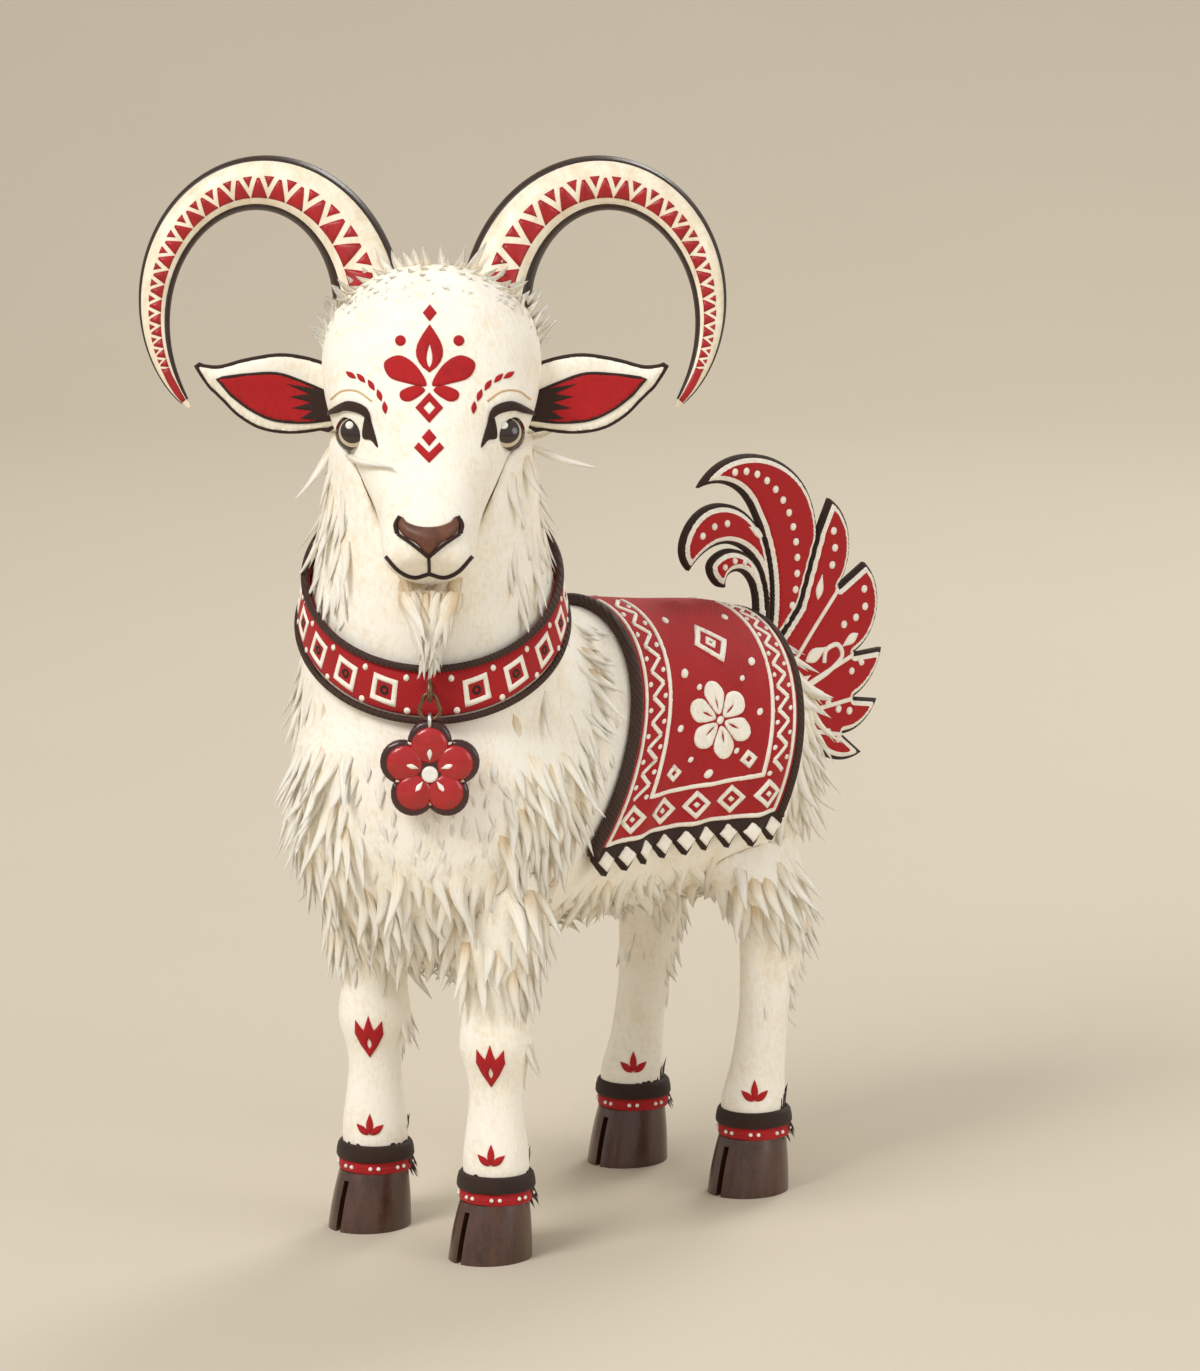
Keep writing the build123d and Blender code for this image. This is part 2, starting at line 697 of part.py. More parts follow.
with BuildPart() as collar_piping:
    add(neck_form(COLLAR_INSET + PIPING_THICKNESS))
    add(neck_form(COLLAR_INSET), mode=Mode.SUBTRACT)
    piping_reach = COLLAR_WIDTH / 2 + SEAM + PIPING_WIDTH
    add(slab(collar_plane, -piping_reach, piping_reach), mode=Mode.INTERSECT)
    add(slab(collar_plane, -COLLAR_WIDTH / 2 - SEAM, COLLAR_WIDTH / 2 + SEAM), mode=Mode.SUBTRACT)
    add(torso_clear, mode=Mode.SUBTRACT)
keep(collar_piping, "collar_piping")

# ---------------------------------------------------------------- pendant
link_pivot = turned(HANG_FORWARD, 0, LOOP_HEIGHT - LOOP_RADIUS + LOOP_WIRE + LINK_WIRE + RING_PLAY)
link_low = link_pivot - UP * LINK_DROP
hang_plane = Plane(origin=link_pivot, x_dir=SIDE, z_dir=FACING)

with BuildPart() as drop_link:
    with BuildLine(hang_plane) as link_path:
        top_arc = ThreePointArc((-LINK_NECK, -LINK_SHOULDER), (0, 0), (LINK_NECK, -LINK_SHOULDER))
        bend = LINK_WIDTH - LINK_DROP
        low_arc = ThreePointArc((-LINK_WIDTH, bend), (0, -LINK_DROP), (LINK_WIDTH, bend))
        Line(top_arc @ 1, low_arc @ 1)
        Line(low_arc @ 0, top_arc @ 0)
    with BuildSketch(Plane(origin=top_arc @ 0.5, z_dir=top_arc % 0.5)):
        Circle(LINK_WIRE)
    sweep(path=link_path.wires()[0], transition=Transition.ROUND)
keep(drop_link, "drop_link")

bail_centre = link_low + UP * (LINK_WIRE + BAIL_WIRE + RING_PLAY - BAIL_RADIUS)
flower_centre = link_pivot - UP * FLOWER_DROP
flower_plane = Plane(origin=flower_centre, x_dir=SIDE, z_dir=FACING)

with BuildPart() as pendant_bail:
    add(ring(bail_centre, BAIL_RADIUS, BAIL_WIRE))
keep(pendant_bail, "pendant_bail")

with BuildPart() as pendant_flower:
    with BuildSketch(flower_plane.offset(-FLOWER_THICKNESS / 2)):
        with PolarLocations(PETAL_CIRCLE, PETALS, start_angle=90):
            Circle(PETAL_RADIUS)
        Circle(FLOWER_HEART)
    extrude(amount=FLOWER_THICKNESS)
    fillet(pendant_flower.faces().sort_by(Axis(flower_centre, FACING))[-1].edges(), EDGE_ROUND)
    with BuildSketch(flower_plane.offset(FLOWER_THICKNESS / 2 - BEAD_SEAT)):
        Circle(BEAD_RADIUS + SEAM)
    extrude(amount=BEAD_HEIGHT, mode=Mode.SUBTRACT)
    add(ring(bail_centre, BAIL_RADIUS, BAIL_WIRE + SEAM), mode=Mode.SUBTRACT)
keep(pendant_flower, "pendant_flower")

with BuildPart() as pendant_bead:
    with BuildSketch(flower_plane.offset(FLOWER_THICKNESS / 2 - BEAD_SEAT + SEAM)):
        Circle(BEAD_RADIUS)
    extrude(amount=BEAD_HEIGHT)
    fillet(pendant_bead.faces().sort_by(Axis(flower_centre, FACING))[-1].edges(), EDGE_ROUND)
keep(pendant_bead, "pendant_bead")

# ---------------------------------------------------------------- tail
half_tail = TAIL_THICKNESS / 2
through_tail = half_tail + GAP
with BuildPart() as tail_peg:
    add(round_bar(tail_peg_foot, tail_peg_end, TAIL_PEG_RADIUS))
keep(tail_peg, "tail_peg")

rear_form = lobed_plate(REAR_START, REAR_LOBES, REAR_BASE, through_tail)
crest_form = plume_plate(CREST_OUTER, CREST_INNER, through_tail)
front_form = plume_plate(FRONT_OUTER, FRONT_INNER, through_tail)

with BuildPart() as tail_rear_plume:
    add(lobed_plate(REAR_START, REAR_LOBES, REAR_BASE, half_tail))
    add(torso_clear, mode=Mode.SUBTRACT)
    add(round_bar(tail_peg_foot, tail_peg_end, TAIL_PEG_RADIUS + DOWEL_PLAY), mode=Mode.SUBTRACT)
keep(tail_rear_plume, "tail_rear_plume")

with BuildPart() as tail_crest_plume:
    add(plume_plate(CREST_OUTER, CREST_INNER, half_tail))
    add(rear_form, mode=Mode.SUBTRACT)
    add(torso_clear, mode=Mode.SUBTRACT)
keep(tail_crest_plume, "tail_crest_plume")

with BuildPart() as tail_front_plume:
    add(plume_plate(FRONT_OUTER, FRONT_INNER, half_tail))
    add(crest_form, mode=Mode.SUBTRACT)
    add(rear_form, mode=Mode.SUBTRACT)
    add(torso_clear, mode=Mode.SUBTRACT)
keep(tail_front_plume, "tail_front_plume")

with BuildPart() as tail_curl:
    add(plume_plate(CURL_OUTER, CURL_INNER, half_tail))
    add(front_form, mode=Mode.SUBTRACT)
    add(crest_form, mode=Mode.SUBTRACT)
    add(rear_form, mode=Mode.SUBTRACT)
    add(torso_clear, mode=Mode.SUBTRACT)
keep(tail_curl, "tail_curl")

# ---------------------------------------------------------------- footprint centre and files
whole = Compound(children=[Compound(piece.solids()) for piece in pieces]).bounding_box()
to_origin = Vector(-(whole.min.X + whole.max.X) / 2, -(whole.min.Y + whole.max.Y) / 2, 0)

os.makedirs("parts", exist_ok=True)
for piece in pieces:
    label = piece.label
    placed = piece.moved(Location(to_origin))
    placed.label = label
    export_step(placed, f"parts/{label}.step")

for name, point in (("link pivot", link_pivot), ("pendant pivot", link_low + UP * LINK_WIRE)):
    print(name, [round(v, 4) for v in tuple(point + to_origin)])
for leg_name, (leg_x, leg_y) in LEGS.items():
    print(leg_name, "sole", [round(v, 4) for v in tuple(Vector(leg_x, leg_y + 4, 0) + to_origin)])
print("facing", FACING, "side", SIDE, "moved by", to_origin)
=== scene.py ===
"""A festive goat figure in cream wool, with carved horns, woven collar and blanket, and a felt tail."""

import math

import bpy
import numpy as np
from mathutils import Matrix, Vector
from mathutils.bvhtree import BVHTree
from mathutils.geometry import delaunay_2d_cdt


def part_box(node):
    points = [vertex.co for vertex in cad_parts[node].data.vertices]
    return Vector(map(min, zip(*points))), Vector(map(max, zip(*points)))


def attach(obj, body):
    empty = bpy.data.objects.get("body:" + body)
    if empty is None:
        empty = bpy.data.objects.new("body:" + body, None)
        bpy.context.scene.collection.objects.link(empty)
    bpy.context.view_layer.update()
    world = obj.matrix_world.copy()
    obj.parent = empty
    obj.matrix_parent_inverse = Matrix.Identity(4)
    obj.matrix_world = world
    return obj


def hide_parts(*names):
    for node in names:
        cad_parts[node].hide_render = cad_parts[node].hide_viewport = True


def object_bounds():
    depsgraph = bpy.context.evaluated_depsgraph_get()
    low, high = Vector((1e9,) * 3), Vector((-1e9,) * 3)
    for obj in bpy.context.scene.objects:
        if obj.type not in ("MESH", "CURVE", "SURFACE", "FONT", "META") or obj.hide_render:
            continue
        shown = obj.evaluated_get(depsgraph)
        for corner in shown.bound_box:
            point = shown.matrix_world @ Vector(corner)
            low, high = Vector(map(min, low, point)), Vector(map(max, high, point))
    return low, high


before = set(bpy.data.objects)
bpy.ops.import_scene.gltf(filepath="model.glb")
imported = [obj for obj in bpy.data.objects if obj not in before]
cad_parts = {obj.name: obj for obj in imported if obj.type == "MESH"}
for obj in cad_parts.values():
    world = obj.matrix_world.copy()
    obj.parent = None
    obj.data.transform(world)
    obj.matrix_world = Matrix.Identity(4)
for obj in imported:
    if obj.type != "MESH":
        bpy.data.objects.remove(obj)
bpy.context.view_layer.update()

MM = 0.001
SEED = 20
rng = np.random.default_rng(SEED)

# ------------------------------------------------------------------ the figure's own frame
LEGS = ("front_left", "front_right", "hind_left", "hind_right")
SHOULDER_Y = -55.0


def node_middle(name):
    low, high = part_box(name)
    return np.array((low + high) / 2)


STAND = np.mean([node_middle(f"{leg}_leg_dowel") for leg in LEGS], axis=0) * (1, 1, 0)
VIEW_AZIMUTH = math.radians(45.0)
VIEW_ELEVATION = math.radians(11.0)
FACING = np.array((math.sin(VIEW_AZIMUTH), -math.cos(VIEW_AZIMUTH), 0.0))
SIDE = np.array((math.cos(VIEW_AZIMUTH), math.sin(VIEW_AZIMUTH), 0.0))
UP = np.array((0.0, 0.0, 1.0))
TO_CAMERA = FACING * math.cos(VIEW_ELEVATION) + UP * math.sin(VIEW_ELEVATION)
PICTURE_UP = UP * math.cos(VIEW_ELEVATION) - FACING * math.sin(VIEW_ELEVATION)


def place(x, y, z):
    """A point given in millimetres from the middle of the four hooves."""
    return STAND + np.array((x, y, z)) * MM


def turned(forward, side, height):
    """A point in the frame of the turned head, in millimetres from the shoulder."""
    return place(0, SHOULDER_Y, height) + (FACING * forward + SIDE * side) * MM


def unit(v):
    v = np.asarray(v, float)
    return v / np.maximum(np.linalg.norm(v, axis=-1, keepdims=True), 1e-12)


# ------------------------------------------------------------------ camera, light and floor
def linear(red, green, blue):
    """A display colour, 0 to 255, as linear values."""
    out = []
    for value in (red, green, blue):
        v = value / 255
        out.append(v / 12.92 if v <= 0.04045 else ((v + 0.055) / 1.055) ** 2.4)
    return (*out, 1.0)


CREAM = linear(254, 249, 236)
CREAM_DEEP = linear(240, 222, 190)
RED = linear(178, 14, 20)
RED_DEEP = linear(140, 8, 12)
WHITE = linear(252, 246, 232)
BROWN = linear(48, 26, 15)
NOSE_BROWN = linear(112, 66, 44)
BACKDROP = linear(206, 196, 178)
UNCHANGED = (1, 1, 1, 1)


def make_camera():
    low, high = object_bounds()
    middle = np.array((low + high) / 2)
    distance = 2.3
    data = bpy.data.cameras.new("camera")
    data.lens = 200
    data.sensor_width = 36
    data.clip_end = 50
    camera = bpy.data.objects.new("camera", data)
    bpy.context.scene.collection.objects.link(camera)
    aim = Vector(middle + UP * -0.004 + SIDE * 0.006)
    camera.location = aim + Vector(TO_CAMERA) * distance
    camera.rotation_euler = (aim - camera.location).to_track_quat("-Z", "Y").to_euler()
    bpy.context.scene.camera = camera


def area_light(name, where, size, power, colour=(1, 1, 1)):
    data = bpy.data.lights.new(name, "AREA")
    data.shape = "DISK"
    data.size = size
    data.energy = power
    data.color = colour
    lamp = bpy.data.objects.new(name, data)
    bpy.context.scene.collection.objects.link(lamp)
    lamp.location = where
    lamp.rotation_euler = (Vector((0, 0, 0.15)) - Vector(where)).to_track_quat("-Z", "Y").to_euler()


def make_light():
    world = bpy.data.worlds.new("studio")
    bpy.context.scene.world = world
    world.use_nodes = True
    background = world.node_tree.nodes["Background"]
    background.inputs["Color"].default_value = (1.0, 0.99, 0.975, 1)
    background.inputs["Strength"].default_value = 0.62
    key = FACING * 1.1 - SIDE * 1.0 + UP * 1.5
    fill = FACING * 0.9 + SIDE * 1.5 + UP * 0.7
    rim = -FACING * 1.3 + SIDE * 0.6 + UP * 1.4
    area_light("key", key, 0.8, 21, (1.0, 0.99, 0.975))
    area_light("fill", fill, 1.0, 6, (1.0, 0.98, 0.95))
    area_light("rim", rim, 0.7, 14, (1.0, 0.99, 0.975))
    bpy.context.scene.view_settings.view_transform = "Standard"


def make_floor(material):
    """A floor that sweeps up behind the figure into a backdrop."""
    reach, bend, rise = 6.0, 1.5, 6.0
    profile = [(-reach, 0.0), (bend, 0.0)]
    for step in range(1, 13):
        angle = math.pi / 2 * step / 12
        profile.append((bend + math.sin(angle), 1 - math.cos(angle)))
    profile.append((bend + 1, rise))
    points, faces = [], []
    for away, height in profile:
        for across in (-reach, reach):
            points.append(-FACING * away + SIDE * across + UP * height)
    for row in range(len(profile) - 1):
        faces.append((2 * row, 2 * row + 1, 2 * row + 3, 2 * row + 2))
    mesh = bpy.data.meshes.new("floor")
    mesh.from_pydata([tuple(p) for p in points], [], faces)
    mesh.polygons.foreach_set("use_smooth", [True] * len(faces))
    floor = bpy.data.objects.new("floor", mesh)
    mesh.materials.append(material)
    bpy.context.scene.collection.objects.link(floor)


# ------------------------------------------------------------------ materials
class Nodes:
    """Short calls for building one material's node tree."""

    def __init__(self, name):
        self.material = bpy.data.materials.new(name)
        self.material.use_nodes = True
        self.tree = self.material.node_tree
        self.shader = self.tree.nodes["Principled BSDF"]

    def add(self, kind, **settings):
        node = self.tree.nodes.new(kind)
        for key, value in settings.items():
            if key in node.inputs:
                node.inputs[key].default_value = value
            else:
                setattr(node, key, value)
        return node

    def link(self, source, target):
        self.tree.links.new(source, target)

    def set(self, **values):
        for key, value in values.items():
            self.shader.inputs[key.replace("_", " ")].default_value = value

    def coordinates(self, stretch=(1, 1, 1)):
        place_node = self.add("ShaderNodeTexCoord")
        mapping = self.add("ShaderNodeMapping")
        mapping.inputs["Scale"].default_value = stretch
        self.link(place_node.outputs["Object"], mapping.inputs["Vector"])
        return mapping.outputs["Vector"]

    def noise(self, vector, scale, detail=3.0, roughness=0.55):
        node = self.add("ShaderNodeTexNoise", Scale=scale, Detail=detail, Roughness=roughness)
        self.link(vector, node.inputs["Vector"])
        return node.outputs["Fac"]

    def ramp(self, factor, stops, interpolation="LINEAR"):
        node = self.add("ShaderNodeValToRGB")
        node.color_ramp.interpolation = interpolation
        while len(node.color_ramp.elements) < len(stops):
            node.color_ramp.elements.new(0.5)
        for element, (position, colour) in zip(node.color_ramp.elements, stops):
            element.position = position
            element.color = colour
        self.link(factor, node.inputs["Fac"])
        return node.outputs["Color"]

    def mix(self, factor, first, second, blend="MIX"):
        node = self.add("ShaderNodeMix", data_type="RGBA", blend_type=blend)
        for source, socket in ((factor, node.inputs[0]), (first, node.inputs[6]), (second, node.inputs[7])):
            if hasattr(source, "is_output"):
                self.link(source, socket)
            else:
                socket.default_value = source
        return node.outputs[2]

    def math(self, operation, first, second=0.0):
        node = self.add("ShaderNodeMath", operation=operation)
        for source, socket in ((first, node.inputs[0]), (second, node.inputs[1])):
            if hasattr(source, "is_output"):
                self.link(source, socket)
            else:
                socket.default_value = source
        return node.outputs[0]

    def blend(self, first, first_share, second, second_share):
        return self.math("ADD", self.math("MULTIPLY", first, first_share),
                         self.math("MULTIPLY", second, second_share))

    def value(self, attribute):
        return self.add("ShaderNodeAttribute", attribute_name=attribute).outputs["Fac"]

    def bump(self, height, distance, strength=1.0):
        node = self.add("ShaderNodeBump", Strength=strength, Distance=distance)
        self.link(height, node.inputs["Height"])
        self.link(node.outputs["Normal"], self.shader.inputs["Normal"])

    def colour(self, source):
        self.link(source, self.shader.inputs["Base Color"])

    def roughness(self, factor, low, high):
        node = self.add("ShaderNodeMapRange")
        node.inputs["To Min"].default_value = low
        node.inputs["To Max"].default_value = high
        self.link(factor, node.inputs["Value"])
        self.link(node.outputs["Result"], self.shader.inputs["Roughness"])


def felt(name, colour, deep, fibre=900.0, bump=0.00025, sheen=0.08):
    """Pressed wool felt: fine crossing fibres and soft blotches."""
    n = Nodes(name)
    fine = n.noise(n.coordinates((1.0, 1.0, 1.0)), fibre, 4, 0.7)
    crossing = n.noise(n.coordinates((1.0, 3.5, 0.6)), fibre * 0.6, 3, 0.6)
    blotch = n.noise(n.coordinates(), 90.0, 2)
    fibres = n.math("MULTIPLY", n.math("ADD", fine, crossing), 0.5)
    shade = n.blend(fibres, 0.7, blotch, 0.3)
    n.colour(n.ramp(shade, [(0.3, deep), (0.52, colour), (1.0, colour)]))
    n.roughness(fibres, 0.75, 0.98)
    n.bump(fibres, bump, 0.7)
    n.set(Sheen_Weight=sheen, Sheen_Roughness=0.5)
    return n.material


def wool_locks(name, tip, body, root):
    """Long wool: pale at the tips, deeper at the roots as painted shade among the locks, with strands along
    each lock.
    """
    n = Nodes(name)
    strand = n.add("ShaderNodeAttribute", attribute_name="strand")
    stretched = n.add("ShaderNodeMapping")
    stretched.inputs["Scale"].default_value = (26.0, 1.6, 40.0)
    n.link(strand.outputs["Vector"], stretched.inputs["Vector"])
    strands = n.noise(stretched.outputs["Vector"], 1.0, 3, 0.6)
    along = n.value("along")
    vary = n.value("vary")
    reach = n.math("ADD", along, n.math("MULTIPLY", n.math("SUBTRACT", vary, 0.5), 0.5))
    reach = n.math("ADD", reach, n.math("MULTIPLY", n.math("SUBTRACT", strands, 0.5), 0.7))
    # The ramp from the root colour to the tip colour is painted shade, darkest at each lock's root.
    base = n.ramp(reach, [(0.02, root), (0.30, body), (0.62, tip), (1.0, tip)])
    streak = n.ramp(strands, [(0.25, (0.82, 0.74, 0.64, 1)), (0.45, UNCHANGED), (1.0, UNCHANGED)])
    n.colour(n.mix(0.5, base, streak, "MULTIPLY"))
    n.roughness(strands, 0.55, 0.85)
    n.bump(strands, 0.0005, 0.9)
    n.set(Sheen_Weight=0.12, Sheen_Roughness=0.4)
    return n.material


def woven(name, colour, deep, pitch=0.0011):
    """Plain-woven wool cloth: warp and weft threads that pass over each other."""
    n = Nodes(name)
    uv = n.add("ShaderNodeAttribute", attribute_name="cloth")
    split = n.add("ShaderNodeSeparateXYZ")
    n.link(uv.outputs["Vector"], split.inputs[0])
    warp = n.math("SINE", n.math("MULTIPLY", split.outputs[0], 2 * math.pi / (pitch / MM)))
    weft = n.math("SINE", n.math("MULTIPLY", split.outputs[1], 2 * math.pi / (pitch / MM)))
    weave = n.math("ADD", n.math("MULTIPLY", n.math("MULTIPLY", warp, weft), 0.5), 0.5)
    fuzz = n.noise(n.coordinates(), 1400.0, 3, 0.7)
    blotch = n.noise(n.coordinates(), 70.0, 2)
    height = n.blend(weave, 0.75, fuzz, 0.35)
    shade = n.blend(height, 0.6, blotch, 0.4)
    n.colour(n.ramp(shade, [(0.25, deep), (0.55, colour), (1.0, colour)]))
    n.roughness(height, 0.7, 0.95)
    n.bump(height, 0.00022, 0.8)
    n.set(Sheen_Weight=0.08, Sheen_Roughness=0.5)
    return n.material


def braid(name, colour, light):
    """Plaited cord or bound edging, with slanting strands."""
    n = Nodes(name)
    wave = n.add("ShaderNodeTexWave", wave_type="BANDS", bands_direction="DIAGONAL")
    wave.inputs["Scale"].default_value = 320.0
    wave.inputs["Distortion"].default_value = 1.2
    wave.inputs["Detail"].default_value = 2.0
    n.link(n.coordinates(), wave.inputs["Vector"])
    fuzz = n.noise(n.coordinates(), 1200.0, 3, 0.7)
    shade = n.blend(wave.outputs["Fac"], 0.6, fuzz, 0.4)
    n.colour(n.ramp(shade, [(0.2, colour), (0.9, light)]))
    n.roughness(shade, 0.6, 0.9)
    n.bump(shade, 0.0003, 0.8)
    n.set(Sheen_Weight=0.04)
    return n.material


def plume_felt(name):
    """Layered tail felt: a dark edge, a cream border and a red heart, by distance from the edge."""
    n = Nodes(name)
    edge = n.math("MULTIPLY", n.value("edge"), 0.2)
    layers = n.ramp(edge, [(0.0, BROWN), (0.22, WHITE), (0.5, RED)], "CONSTANT")
    fibres = n.noise(n.coordinates((1, 1, 2.5)), 800.0, 4, 0.7)
    dim = n.ramp(fibres, [(0.3, (0.66, 0.6, 0.56, 1)), (0.55, UNCHANGED), (1.0, UNCHANGED)])
    n.colour(n.mix(0.6, layers, dim, "MULTIPLY"))
    n.roughness(fibres, 0.75, 0.95)
    n.bump(fibres, 0.00025, 0.7)
    n.set(Sheen_Weight=0.05, Sheen_Roughness=0.5)
    return n.material


def painted(name, colour, deep, rough=(0.35, 0.55), coat=0.15, ring=0.0):
    """Painted or stained wood: faint grain, brush marks and a satin coat."""
    n = Nodes(name)
    grain = n.noise(n.coordinates((1.0, 1.0, 0.25)), 260.0, 4, 0.6)
    marks = n.noise(n.coordinates((2.0, 0.6, 1.0)), 700.0, 3, 0.6)
    shade = n.blend(grain, 0.65, marks, 0.35)
    n.colour(n.ramp(shade, [(0.3, deep), (0.6, colour), (1.0, colour)]))
    n.roughness(marks, *rough)
    n.bump(shade, 0.0002 + ring, 0.5)
    n.set(Coat_Weight=coat, Coat_Roughness=0.3)
    return n.material


def glossy(name, colour, rough=0.12, coat=0.6):
    """Enamel or glass: an even colour with a clear gloss and very slight waviness."""
    n = Nodes(name)
    waves = n.noise(n.coordinates(), 220.0, 2)
    dim = tuple(c * 0.82 for c in colour[:3]) + (1,)
    n.colour(n.ramp(waves, [(0.3, dim), (0.6, colour), (1.0, colour)]))
    n.roughness(waves, rough, rough + 0.12)
    n.bump(waves, 0.00012, 0.25)
    n.set(Coat_Weight=coat, Coat_Roughness=0.08)
    return n.material


def metal(name, colour, rough=0.2):
    n = Nodes(name)
    scuff = n.noise(n.coordinates(), 900.0, 4, 0.7)
    dim = tuple(c * 0.75 for c in colour[:3]) + (1,)
    n.colour(n.ramp(scuff, [(0.3, dim), (0.6, colour)]))
    n.roughness(scuff, rough, rough + 0.2)
    n.bump(scuff, 0.00005, 0.3)
    n.set(Metallic=1.0)
    return n.material


def plain_floor():
    n = Nodes("floor_paper")
    mottling = n.noise(n.coordinates(), 6.0, 3)
    n.colour(n.ramp(mottling, [(0.3, tuple(c * 0.985 for c in BACKDROP[:3]) + (1,)), (0.7, BACKDROP)]))
    n.set(Roughness=0.9, Specular_IOR_Level=0.1)
    return n.material


PAINT = {
    # The last colour given to each wool is its root colour: painted shade among the locks.
    "wool": wool_locks("wool_locks", CREAM, linear(251, 242, 222), linear(234, 210, 174)),
    # shaded_locks is the same wool made darker: painted shade on the locks under the head.
    "wool_shade": wool_locks("shaded_locks", linear(246, 230, 202), linear(236, 214, 180),
                             linear(214, 184, 144)),
    "dark_locks": wool_locks("dark_locks", linear(66, 38, 23), BROWN, linear(24, 12, 7)),
    "skin": felt("wool_skin", CREAM, CREAM_DEEP, 700.0, 0.0004),
    "red": felt("red_felt", RED, RED_DEEP),
    "white": felt("white_felt", WHITE, linear(226, 212, 188)),
    "brown": felt("brown_felt", BROWN, linear(24, 12, 7)),
    "tan": felt("tan_felt", linear(216, 184, 140), linear(190, 152, 108)),
    "cloth": woven("red_cloth", RED, RED_DEEP),
    "braid": braid("brown_braid", linear(34, 18, 10), linear(74, 44, 28)),
    "plume": plume_felt("tail_felt"),
    "horn": painted("horn_paint", linear(250, 241, 220), linear(228, 208, 172)),
    "horn_red": painted("horn_red_paint", RED, RED_DEEP),
    "horn_dark": painted("horn_dark_paint", BROWN, linear(28, 14, 8)),
    "hoof": painted("hoof_horn", linear(84, 50, 32), linear(40, 20, 11), (0.22, 0.42), 0.5),
    "nose": painted("nose_leather", NOSE_BROWN, linear(70, 36, 22), (0.4, 0.6), 0.1),
    "eye_dark": glossy("eye_dark", linear(40, 22, 13)),
    # Glossy white for the pendant's white marks and for the painted highlights on the eyes.
    "white_marks_and_highlight": glossy("white_marks_and_highlight", linear(252, 248, 238)),
    "eye_ring": glossy("eye_ring", linear(214, 196, 168)),
    "enamel": glossy("red_enamel", linear(178, 18, 22), 0.2, 0.5),
    "enamel_dark": glossy("dark_enamel", linear(58, 16, 14), 0.25, 0.4),
    "bead": glossy("white_bead", linear(250, 246, 236), 0.2, 0.4),
    "silver": metal("silver_wire", (0.82, 0.81, 0.79, 1)),
    "bronze": metal("bronzed_wire", (0.22, 0.13, 0.08, 1), 0.35),
}


# ------------------------------------------------------------------ mesh helpers
def make_piece(name, points, faces, paint, body="goat", replaces=(), attributes=None):
    """A mesh piece in the CAD frame that rides on a body."""
    mesh = bpy.data.meshes.new(name)
    mesh.from_pydata(np.asarray(points, float).tolist(), [], [tuple(int(i) for i in f) for f in faces])
    mesh.polygons.foreach_set("use_smooth", [True] * len(mesh.polygons))
    mesh.materials.append(PAINT[paint])
    for key, values in (attributes or {}).items():
        values = np.asarray(values, np.float32)
        if values.ndim == 1:
            layer = mesh.attributes.new(key, "FLOAT", "POINT")
            layer.data.foreach_set("value", values)
        else:
            layer = mesh.attributes.new(key, "FLOAT_VECTOR", "POINT")
            layer.data.foreach_set("vector", values.ravel())
    mesh.update()
    piece = bpy.data.objects.new(name, mesh)
    bpy.context.scene.collection.objects.link(piece)
    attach(piece, body)
    if replaces:
        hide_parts(*replaces)
    return piece


class Bag:
    """Gathers many small shapes into one piece."""

    def __init__(self):
        self.points, self.faces, self.extra, self.count = [], [], {}, 0

    def add(self, points, faces, **extra):
        points = np.asarray(points, float)
        self.points.append(points)
        self.faces += [tuple(int(i) + self.count for i in f) for f in faces]
        self.count += len(points)
        for key, values in extra.items():
            self.extra.setdefault(key, []).append(np.asarray(values, float))

    def piece(self, name, paint, body="goat", replaces=()):
        attributes = {key: np.concatenate(parts) for key, parts in self.extra.items()}
        points = np.concatenate(self.points)
        return make_piece(name, points, self.faces, paint, body, replaces, attributes)


def grid_faces(rows, columns, wrap=False):
    faces = []
    last = columns if wrap else columns - 1
    for r in range(rows - 1):
        for c in range(last):
            d = (c + 1) % columns
            faces.append((r * columns + c, r * columns + d, (r + 1) * columns + d, (r + 1) * columns + c))
    return faces


def closing_faces(rows, sides):
    """The last quads of a ring, from its last row back to its first."""
    end = (rows - 1) * sides
    return [(end + k, end + (k + 1) % sides, (k + 1) % sides, k) for k in range(sides)]


def tube(path, radius, sides=10, closed=False):
    """Points and faces of a round tube along a path. The radius may change along it."""
    path = np.asarray(path, float)
    radius = np.broadcast_to(np.asarray(radius, float), (len(path),))
    ahead = np.roll(path, -1, 0) - np.roll(path, 1, 0)
    if not closed:
        ahead[0], ahead[-1] = path[1] - path[0], path[-1] - path[-2]
    ahead = unit(ahead)
    across = np.cross(ahead[0], UP if abs(ahead[0][2]) < 0.9 else SIDE)
    points = []
    for here, way, size in zip(path, ahead, radius):
        across = unit(across - way * np.dot(across, way))
        over = np.cross(way, across)
        for k in range(sides):
            angle = 2 * math.pi * k / sides
            points.append(here + (across * math.cos(angle) + over * math.sin(angle)) * size)
    faces = grid_faces(len(path), sides, True)
    if closed:
        faces += closing_faces(len(path), sides)
    else:
        end = (len(path) - 1) * sides
        faces.append(tuple(range(sides))[::-1])
        faces.append(tuple(end + k for k in range(sides)))
    return points, faces


def smooth_line(points, steps=8, closed=False):
    """A Catmull-Rom curve through points."""
    points = np.asarray(points, float)
    count = len(points)
    out = []
    spans = count if closed else count - 1
    for i in range(spans):
        if closed:
            a, b, c, d = (points[(i + k) % count] for k in (-1, 0, 1, 2))
        else:
            b, c = points[i], points[i + 1]
            a = points[i - 1] if i else 2 * b - c
            d = points[i + 2] if i + 2 < count else 2 * c - b
        for step in range(steps):
            t = step / steps
            out.append(0.5 * (2 * b + (c - a) * t + (2 * a - 5 * b + 4 * c - d) * t**2
                              + (3 * b - a - 3 * c + d) * t**3))
    if not closed:
        out.append(points[-1])
    return np.array(out)


def densify(loop, spacing):
    """A closed loop with no side longer than the spacing."""
    loop = np.asarray(loop, float)
    out = []
    for here, there in zip(loop, np.roll(loop, -1, 0)):
        count = max(1, int(math.ceil(np.linalg.norm(there - here) / spacing)))
        for k in range(count):
            out.append(here + (there - here) * k / count)
    return np.array(out)


